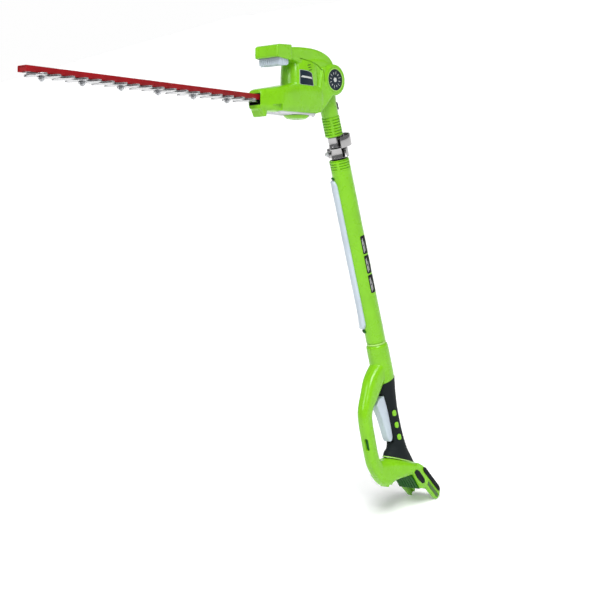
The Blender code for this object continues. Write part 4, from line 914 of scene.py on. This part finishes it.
def make_release():
    body = [(-149, 29), (-149, 23), (-148.4, 16.5), (-146, 13.4), (-128, 15.6), (-125, 18), (-125, 29)]
    lever = soften(prism(body, -26.1, 26.1), 1.0, 2, 50)
    lever = combine(lever, [box((-145, -6, 26), (-134, 6, 36))], "UNION")
    grooves = []
    for k in range(11):
        y = -24 + 4.8 * k
        grooves.append(prism([(-152, y - 1.3), (-148.4, y - 1.3), (-146.8, y - 0.6), (-146.8, y + 0.6),
                              (-148.4, y + 1.3), (-152, y + 1.3)], 8, 25.5, "Z"))
        grooves.append(prism([(y - 1.3, 8), (y + 1.3, 8), (y + 1.3, 15.0), (y, 16.4), (y - 1.3, 15.0)],
                             -152, -128, "X"))
    for side in (-1, 1):
        low, high = sorted((side * 24.6, side * 28))
        for k in range(5):
            x = -146 + 4.6 * k
            grooves.append(prism([(x - 1.2, 8), (x + 1.2, 8), (x + 2.2, 26.5), (x - 0.2, 26.5)], low, high))
    piece("squeeze_lever", combine(lever, grooves), GREY, "release", ["release_lever"])


# ---------------------------------------------------------------- blade

TOOTH_COUNT, TOOTH_PITCH, BLADE_ROOT = 18, 27.6, 206
BOLT_COUNT, BOLT_FIRST, BOLT_PITCH = 6, 258, 82.8
CHANNEL_TIP = 711


def blade_outline():
    half = [(-63.5, 18.5), (-112.5, 18.5), (-128, 9.0), (3 - BLADE_ROOT, 9.0)]
    for i in range(TOOTH_COUNT):
        along = BLADE_ROOT + i * TOOTH_PITCH
        half += [(-along - 0.6, 9.2), (-along - 0.9, 10.0), (-along - 5.0, 25.2), (-along - 5.8, 26.0),
                 (-along - 11.7, 26.0), (-along - 12.5, 25.2), (-along - 16.6, 10.0), (-along - 16.9, 9.2)]
    half += [(-BLADE_ROOT - TOOTH_COUNT * TOOTH_PITCH + 8, 9.0),
             (-BLADE_ROOT - TOOTH_COUNT * TOOTH_PITCH + 5, 6.0)]
    return half + [(x, -y) for x, y in reversed(half)]


def make_blades():
    for name, top, body in (("upper_blade", -52.5, "blade_upper"), ("lower_blade", -54.7, "blade_lower")):
        form = soften(prism(blade_outline(), top - 1.9, top, "Z"), 0.55, 1, 60)
        cuts = [prism(rounded(-108.5, -14.5, -67.5, 14.5, 4), top - 5, top + 5, "Z")]
        for first, reach, half in ((BOLT_FIRST, 9.4, 2.7), (BOLT_FIRST - 28, 6, 1.6)):
            for i in range(BOLT_COUNT):
                along = first + i * BOLT_PITCH
                slot = rounded(-along - reach, -half, -along + reach, half, half - 0.1)
                cuts.append(prism(slot, top - 5, top + 5, "Z"))
        piece(name + "_ground", combine(form, cuts), BLADE, body, [name], sharp=25)
    outer = [(-11, -52), (-11, -43.2), (-10.2, -42), (10.2, -42), (11, -43.2), (11, -52), (9.4, -52),
             (9.4, -43.6), (-9.4, -43.6), (-9.4, -52)]
    channel = soften(prism(outer, -CHANNEL_TIP, -150, "X"), 0.35, 2, 60)
    end = soften(box((1.5 - CHANNEL_TIP, -10.5, -52), (4.5 - CHANNEL_TIP, 10.5, -42.6)), 0.8, 2)
    channel = combine(channel, [end], "UNION")
    channel = combine(channel, [prism([(-12, -60), (12, -60), (0, -48.5)], -1 - CHANNEL_TIP,
                                      8 - CHANNEL_TIP, "X")])
    rivets = []
    for i in range(BOLT_COUNT):
        rivet = turned([(0, -42.6), (3.6, -42.6), (3.2, -41.4), (1.8, -40.9), (0, -40.8)], 24)
        rivets.append(moved(rivet, Matrix.Translation((-BOLT_FIRST - i * BOLT_PITCH, 0, 0))))
    piece("guide_channel", combine(channel, rivets, "UNION"), RED, HEAD_BODY, ["blade_channel"])
    for i in range(BOLT_COUNT):
        at = (-BOLT_FIRST - i * BOLT_PITCH, 0, 0)
        bolt = turned([(0, -44), (4, -44), (4, -46.1), (2.3, -46.1), (2.3, -57.0), (6.2, -57.0),
                       (6.2, -57.9), (2.5, -57.9), (2.5, -63.4), (2.0, -64.0), (0, -64.0)], 32)
        nut = turned([(2.2, -58.0), (4.6, -58.0), (5.0, -58.4), (5.0, -61.4), (4.6, -61.9), (2.2, -61.9)],
                     6, ring=True)
        collar = turned([(2.2, -61.8), (4.0, -61.8), (3.8, -62.6), (2.2, -62.6)], 32, ring=True)
        form = combine(bolt, [nut, collar], "UNION")
        piece("blade_bolt_%d_skin" % (i + 1), aim(form, "Z", at), STEEL, HEAD_BODY,
              ["blade_bolt_%d" % (i + 1)], sharp=25)


# ---------------------------------------------------------------- handle

DOCK_HALF = 36.5
GRIP_SKIN = 2.4
TRIGGER_PIN = (-12.5, 0, -316)
GRIP_LEVELS = (
    (0.3, -256, 24.0, 23.2, 0.0),
    (0.2, -272, 24.2, 22.8, 0.0),
    (-0.5, -290, 22.4, 20.6, 0.0),
    (-1.5, -315, 19.6, 18.2, 0.0),
    (-2.0, -345, 17.2, 16.6, 0.0),
    (-2.5, -385, 17.0, 16.5, 0.0),
    (-2.0, -410, 18.2, 17.0, -0.15),
    (-3.0, -430, 23.5, 18.3, -0.4),
    (-4.0, -444, 32.0, 21.0, -0.6),
    (-5.0, -460, 39.0, 24.0, -0.614),
)
GUARD_PATH = (
    (8, -250, 12, 19),
    (-7, -256, 17, 18.5),
    (-20, -264.5, 19.5, 17.5),
    (-36, -278, 20.5, 16.5),
    (-54, -298, 17.5, 15),
    (-67, -312, 14.5, 14.2),
    (-75.5, -326, 13, 13.8),
    (-79.5, -345, 12.5, 13.5),
    (-81.5, -380, 12.5, 13.5),
    (-82.5, -412, 12.5, 13.5),
    (-81, -430, 13.5, 13.5),
    (-74, -448, 15, 14),
    (-62, -463, 17, 15),
)


def dock_point(down, deep):
    """A point of the battery cradle as (x, z), from its tilted back edge."""
    turn = math.radians(29.7)
    x = 31.0 + down * math.sin(turn) - deep * math.cos(turn)
    z = -486.0 - down * math.cos(turn) - deep * math.sin(turn)
    return (x, z)


def dock_outline(points, radius=0.0, steps=4):
    made = [dock_point(down, deep) for down, deep in points]
    return round_corners(made, radius, steps) if radius else made


def neck_column():
    stations = ((0, POLE_BOTTOM - 3.9, 18.8, 18.8, 0), (0, POLE_BOTTOM - 4.8, 20.3, 20.3, 0),
                (0, POLE_BOTTOM - 7.0, 21.4, 21.4, 0), (0, POLE_BOTTOM - 10.5, 21.9, 21.9, 0),
                (0, -245, 22.4, 22.2, 0), (0, -275, 22.4, 21.4, 0), (-1, -318, 19.0, 18.0, 0))
    return upright(stations, steps=120)


def base_form():
    rings = []
    stations = ((-84, -438, -462, 12), (-72, -432, -482, 14.5), (-56, -434, -489, 18),
                (-40, -437, -486, 24), (-22, -445, -487, 31), (-6, -454, -489, 35.5),
                (10, -463, -492, DOCK_HALF), (24, -472, -494, DOCK_HALF - 0.6))
    for x, top, bottom, half in spread(stations, 50):
        rings.append(oval((x, 0, (top + bottom) / 2), (0, half, 0), (0, 0, (top - bottom) / 2), 64, 3.0))
    return loft(rings)


def grip_room(low_shift, high_shift):
    """The space between the arched top edge and the slanted foot of the soft grip."""
    top = spread([(60, -262), (20, -279), (-4, -282.5), (-30, -289), (-60, -313), (-90, -341)], 40)
    outline = [(x, z + high_shift) for x, z in top]
    return prism(outline + [(-90, -401.5 + low_shift), (60, -494 + low_shift)], -60, 60)


def foot_band(high, low):
    """A slanted band along the foot of the soft grip."""
    return prism([(-90, -401.5 + high), (60, -494 + high), (60, -494 + low), (-90, -401.5 + low)], -60, 60)


def lock_form(low, high, grow=0.0):
    """The outline of the lock-off button, drawn out along x."""
    return prism(rounded(-8.5 - grow, -333 - grow, 8.5 + grow, -290 + grow, 8.4, 10), low, high, "X")


def make_handle_shells():
    lip = soften(prism([(18, -219), (24.6, -222), (24.9, -231), (22.6, -234), (18, -236)], -6, 6), 0.9, 2, 40)
    feet = [soften(box((x, -11, -490), (x + 5, 11, -470)), 1.6, 3) for x in (-64, -53)]
    skin = fuse([neck_column(), bar(GUARD_PATH, power=2.7), base_form(), lip] + feet, 0.95, 6)
    cradle = soften(prism(dock_outline([(-27, 7), (-28, 31), (-2, 34), (18, 38), (24, 33.5), (24, 27.5),
                                        (36, 27), (70, 25.7), (75, 21), (75, 12), (69, 2.5), (60, 0),
                                        (0, 0), (-12, 2)], 2.0), -DOCK_HALF, DOCK_HALF), 1.1, 3, 60)
    skin = combine(skin, [cradle], "UNION")
    skin = combine(skin, [prism(dock_outline([(-20, 27.7), (-20, 60), (26, 60), (26, 27.7)]), -28.9, 60)])
    pocket = combine(upright(GRIP_LEVELS, shrink=-0.35), [grip_room(0, 0)], "INTERSECT")
    dock_room = dock_outline([(12, 5), (90, 5), (90, 70), (24, 70), (12, 30)])
    rail_room = dock_outline([(14, 12.5), (90, 12.5), (90, 21.5), (14, 21.5)])
    groove = dock_outline([(24, 13), (90, 13), (90, 22), (28, 22)])
    cuts = [
        pocket,
        disc(18.3, POLE_BOTTOM - 60, POLE_BOTTOM + 5),
        prism(dock_room, 7.5 - DOCK_HALF, DOCK_HALF - 7.5),
        prism(rail_room, 3 - DOCK_HALF, DOCK_HALF - 3),
        prism(groove, DOCK_HALF - 1.2, DOCK_HALF + 5),
        prism(groove, -DOCK_HALF - 5, 1.2 - DOCK_HALF),
        box((-45, -8.4, -411), (-3, 8.4, -309.5)),
        prism(rounded(-8.6, -399, -0.6, -373, 3.9), -102, -90.5, "X"),
        box((-24, -20, -478), (14, 20, -450)),
        lock_form(5, 40, GAP),
    ]
    paired("handle", "handle_shell", combine(skin, cuts), GREEN, ROOT)
    # A pale green band along the grip's foot: a painted highlight on the edge where the grip meets the base.
    rim = combine(upright(GRIP_LEVELS, 80, shrink=-1.0), [foot_band(-0.3, -2.6)], "INTERSECT")
    rim = combine(rim, [upright(GRIP_LEVELS, 80, shrink=1.6)])
    piece("grip_foot_rim", soften(rim, 0.6, 2, 50), PALE_GREEN_AND_HIGHLIGHT, ROOT)
    # A dark green block in the cradle: painted shade on the inside of its far wall.
    block = prism(dock_outline([(-19.6, 28), (-19.6, 36.5), (-2, 37.5), (17, 41), (22.5, 36), (22.5, 28)],
                               1.5), -28.6, 20)
    grooves = [prism(dock_outline([(-30, 35.4), (-30, 60), (30, 60), (30, 38)]), y - 0.8, y + 0.8)
               for y in (-22, -15, -8, -1, 6, 13)]
    block = combine(block, grooves)
    piece("latch_housing", block, SHADE_GREEN, ROOT)
    # A dark green sheet on the floor of the guard's recess: painted shade.
    recess_shade = prism(rounded(-8.2, -398.6, -1.0, -373.4, 3.5), -91.4, -90.6, "X")
    piece("guard_recess", recess_shade, SHADE_GREEN, ROOT)
    # Dark olive strips in both rail grooves: painted shade in the grooves.
    for word, side in SIDES:
        low, high = sorted((side * (DOCK_HALF - 1.15), side * (DOCK_HALF - 0.5)))
        groove_shade = prism(dock_outline([(26, 14), (72, 14), (72, 21), (29, 21)], 1.5), low, high)
        piece("rail_inlay_" + word, groove_shade, SHADE_OLIVE, ROOT)


def make_grip():
    outer = combine(upright(GRIP_LEVELS, 80), [grip_room(0.3, -0.3)], "INTERSECT")
    inner = upright(GRIP_LEVELS[:-1], 64, shrink=GRIP_SKIN)
    cuts = [
        combine(inner, [grip_room(8, -8)], "INTERSECT"),
        box((-60, -8.4, -411), (-3, 8.4, -309.5)),
        bar(GUARD_PATH, shrink=-GAP),
        lock_form(5, 40, 1.7),
        base_form(),
    ]
    grip = combine(outer, cuts)
    ovals = []
    for z in (-351.5, -377, -403):
        for side in (-1, 1):
            low, high = sorted((side * 10, side * 30))
            spot = [(x - 6.6, z + dz) for x, dz in rounded(-4.6, -6.8, 4.6, 6.8, 4.5, 8)]
            ovals.append((z, spot, low, high))
    grip = combine(grip, [prism(spot, low, high) for _, spot, low, high in ovals])
    paired("grip", "grip_overmould", grip, RUBBER, ROOT)
    for k, (z, spot, low, high) in enumerate(ovals):
        inner_spot = [(-6.6 + (x + 6.6) * 0.9, z + (w - z) * 0.93) for x, w in spot]
        bead = combine(upright(GRIP_LEVELS, 80, shrink=-0.7), [prism(inner_spot, low, high)], "INTERSECT")
        bead = combine(bead, [upright(GRIP_LEVELS, 80, shrink=3.5)])
        piece("grip_bead_%d" % (k + 1), soften(bead, 0.6, 2, 50), GREEN, ROOT)
    ring = combine(lock_form(5, 40, 1.5), [lock_form(0, 45, GAP)])
    bezel = combine(upright(GRIP_LEVELS, 80, shrink=-0.9), [ring], "INTERSECT")
    bezel = combine(bezel, [upright(GRIP_LEVELS, 80, shrink=3.0)])
    piece("lock_bezel", bezel, GREEN, ROOT)
    button = combine(upright(GRIP_LEVELS, 80, shrink=-0.6), [lock_form(10, 40)], "INTERSECT")
    piece("lock_button", button, BLACK_AND_SHADE, "lock_off", ["lock_off_button"])


def make_trigger():
    outline = [(-26, -311), (-38, -315), (-43.5, -320.5), (-42, -332), (-37, -352), (-33.5, -378),
               (-31.5, -398), (-28, -406), (-21, -407), (-17, -401), (-14.5, -375), (-13.5, -350),
               (-11.5, -328), (-8.3, -316), (-8.3, -313), (-12.5, -310.5)]
    form = soften(prism(round_corners(outline, 3.0, 4), -7.8, 7.8), 1.8, 4, 60)
    pin_hole = disc(2.3, -20, 20, "Y", TRIGGER_PIN, 32)
    piece("trigger_lever", combine(form, [pin_hole]), GREY, "trigger_body", ["trigger"])


def make_cradle_trim():
    for word, side in SIDES:
        low, high = sorted((side * (DOCK_HALF + 0.1), side * (DOCK_HALF + 2.0)))
        shape = dock_outline([(-24, 21.6), (-15.5, 18), (10, 19.5), (16, 24), (11.3, 30), (-7.4, 32.3),
                              (-25, 29.5)], 1.6)
        cheek = soften(prism(shape, low, high), 0.7, 3, 60)
        notch = prism(dock_outline([(-15, 24), (8, 23), (9, 24.4), (-15, 25.6)]),
                      *sorted((side * (DOCK_HALF + 1.4), side * 45)))
        piece("cheek_bumper_" + word, combine(cheek, [notch]), RUBBER, ROOT, ["side_bumper_" + word])
        outline = dock_outline([(-8, 2.5), (-4, 0.5), (58, 0.5), (66, 3), (67, 8), (60, 9.5), (-2, 9.5),
                                (-8, 6)], 1.6)
        strip = soften(prism(outline, low, high), 0.7, 3, 60)
        line = dock_outline([(-3, 4.4), (60, 4.4), (60, 5.4), (-3, 5.4)])
        strip = combine(strip, [prism(line, *sorted((side * (DOCK_HALF + 1.5), side * 45)))])
        piece("rail_bumper_" + word, strip, RUBBER, ROOT, ["rear_bumper_" + word])
    side_screws("handle_screw", ((-81.5, 13.2, -424), (-44, 15.6, -286), (-38, 23.6, -462)), WORLD, ROOT)


# ---------------------------------------------------------------- CAD nodes that stay


def finish_cad(node, material, bevel=0.0):
    """Gives a CAD object its material and eased edges."""
    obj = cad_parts[node]
    obj.data.materials.clear()
    obj.data.materials.append(material)
    if bevel:
        step = obj.modifiers.new("edges", "BEVEL")
        step.width = bevel * MM
        step.segments = 2
        step.limit_method = "ANGLE"
        step.angle_limit = math.radians(40)


def finish_inside():
    for node, material, bevel in (
        ("coiled_cable", CABLE, 0), ("index_ring", STEEL, 0), ("pivot_bolt", STEEL, 0), ("motor", CAN, 0),
        ("motor_rotor", STEEL, 0), ("drive_gear", STEEL, 0), ("gear_bearing", STEEL, 0),
        ("support_bar", STEEL, 0),
        ("lock_pawl", STEEL, 0.2), ("release_cable", CABLE, 0), ("trigger_pin", STEEL, 0),
        # The terminal block takes the painted-shade dark green of the cradle's shaded inside.
        ("main_switch", BLACK_AND_SHADE, 0.4), ("control_board", BOARD, 0), ("terminal_block", SHADE_GREEN, 0.5),
        ("contact_positive", COPPER, 0.1), ("contact_negative", COPPER, 0.1),
    ):
        finish_cad(node, material, bevel)


# ---------------------------------------------------------------- stage


BACKDROP = (0.696, 0.674, -0.247)


def make_stage():
    size = 12.0
    level = CAD_BOX[0][2] - 0.0015
    mesh = bpy.data.meshes.new("floor")
    mesh.from_pydata([(-size, -size, level), (size, -size, level), (size, size, level),
                      (-size, size, level)], [], [(0, 1, 2, 3)])
    floor = linked("floor", mesh)
    look = Look("floor_paper", 0.9, specular=0.1)
    look.shader.inputs["Emission Color"].default_value = (1, 1, 1, 1)
    look.shader.inputs["Emission Strength"].default_value = 0.16
    fibre = look.noise(3, 2)
    look.colour(look.ramp(fibre, [(0.3, (0.955, 0.955, 0.955)), (0.7, (0.965, 0.965, 0.965))]))
    mesh.materials.append(look.material)
    make_world()
    lights = (
        ("key", (-1.9, -2.0, 2.2), 0.8, 24),
        ("rim", (-2.6, 1.2, 1.6), 1.0, 16),
    )
    for name, at, width, power in lights:
        light = bpy.data.lights.new(name, "AREA")
        light.size = width
        light.energy = power
        obj = linked(name, light)
        obj.location = at
        obj.rotation_euler = (-Vector(at)).to_track_quat("-Z", "Y").to_euler()
    sun = bpy.data.lights.new("overhead", "SUN")
    sun.energy = 2.7
    sun.angle = math.radians(32)
    obj = linked("overhead", sun)
    obj.rotation_euler = Vector((0.35, 0.5, -1.0)).to_track_quat("-Z", "Y").to_euler()


def make_world():
    """A grey studio with a white backdrop behind the tool."""
    world = bpy.data.worlds.new("studio")
    world.use_nodes = True
    tree = world.node_tree
    place = tree.nodes.new("ShaderNodeTexCoord")
    toward = tree.nodes.new("ShaderNodeVectorMath")
    toward.operation = "DOT_PRODUCT"
    toward.inputs[1].default_value = BACKDROP
    tree.links.new(place.outputs["Generated"], toward.inputs[0])
    ramp = tree.nodes.new("ShaderNodeValToRGB")
    ramp.color_ramp.elements[0].position = 0.70
    ramp.color_ramp.elements[0].color = (0.27, 0.275, 0.28, 1)
    ramp.color_ramp.elements[1].position = 0.93
    ramp.color_ramp.elements[1].color = (0.99, 0.99, 0.99, 1)
    tree.links.new(toward.outputs["Value"], ramp.inputs["Fac"])
    tree.links.new(ramp.outputs["Color"], tree.nodes["Background"].inputs["Color"])
    tree.nodes["Background"].inputs["Strength"].default_value = 1.0
    bpy.context.scene.world = world


def make_camera():
    camera = bpy.data.cameras.new("photo_camera")
    camera.sensor_width = 36.0
    camera.lens = 91.294
    camera.clip_end = 50
    obj = linked("photo_camera", camera)
    obj.location = (-2.18473, -1.93448, 0.65913)
    obj.rotation_euler = tuple(math.radians(d) for d in (75.36797, 11.77022, -48.95221))
    bpy.context.scene.camera = obj
    bpy.context.scene.view_settings.view_transform = "Standard"


make_camera()
make_stage()
make_pole()
make_pole_trim()
make_clamp()
make_neck()
make_head_shells()
make_head_trim()
make_release()
make_blades()
make_handle_shells()
make_grip()
make_trigger()
make_cradle_trim()
finish_inside()
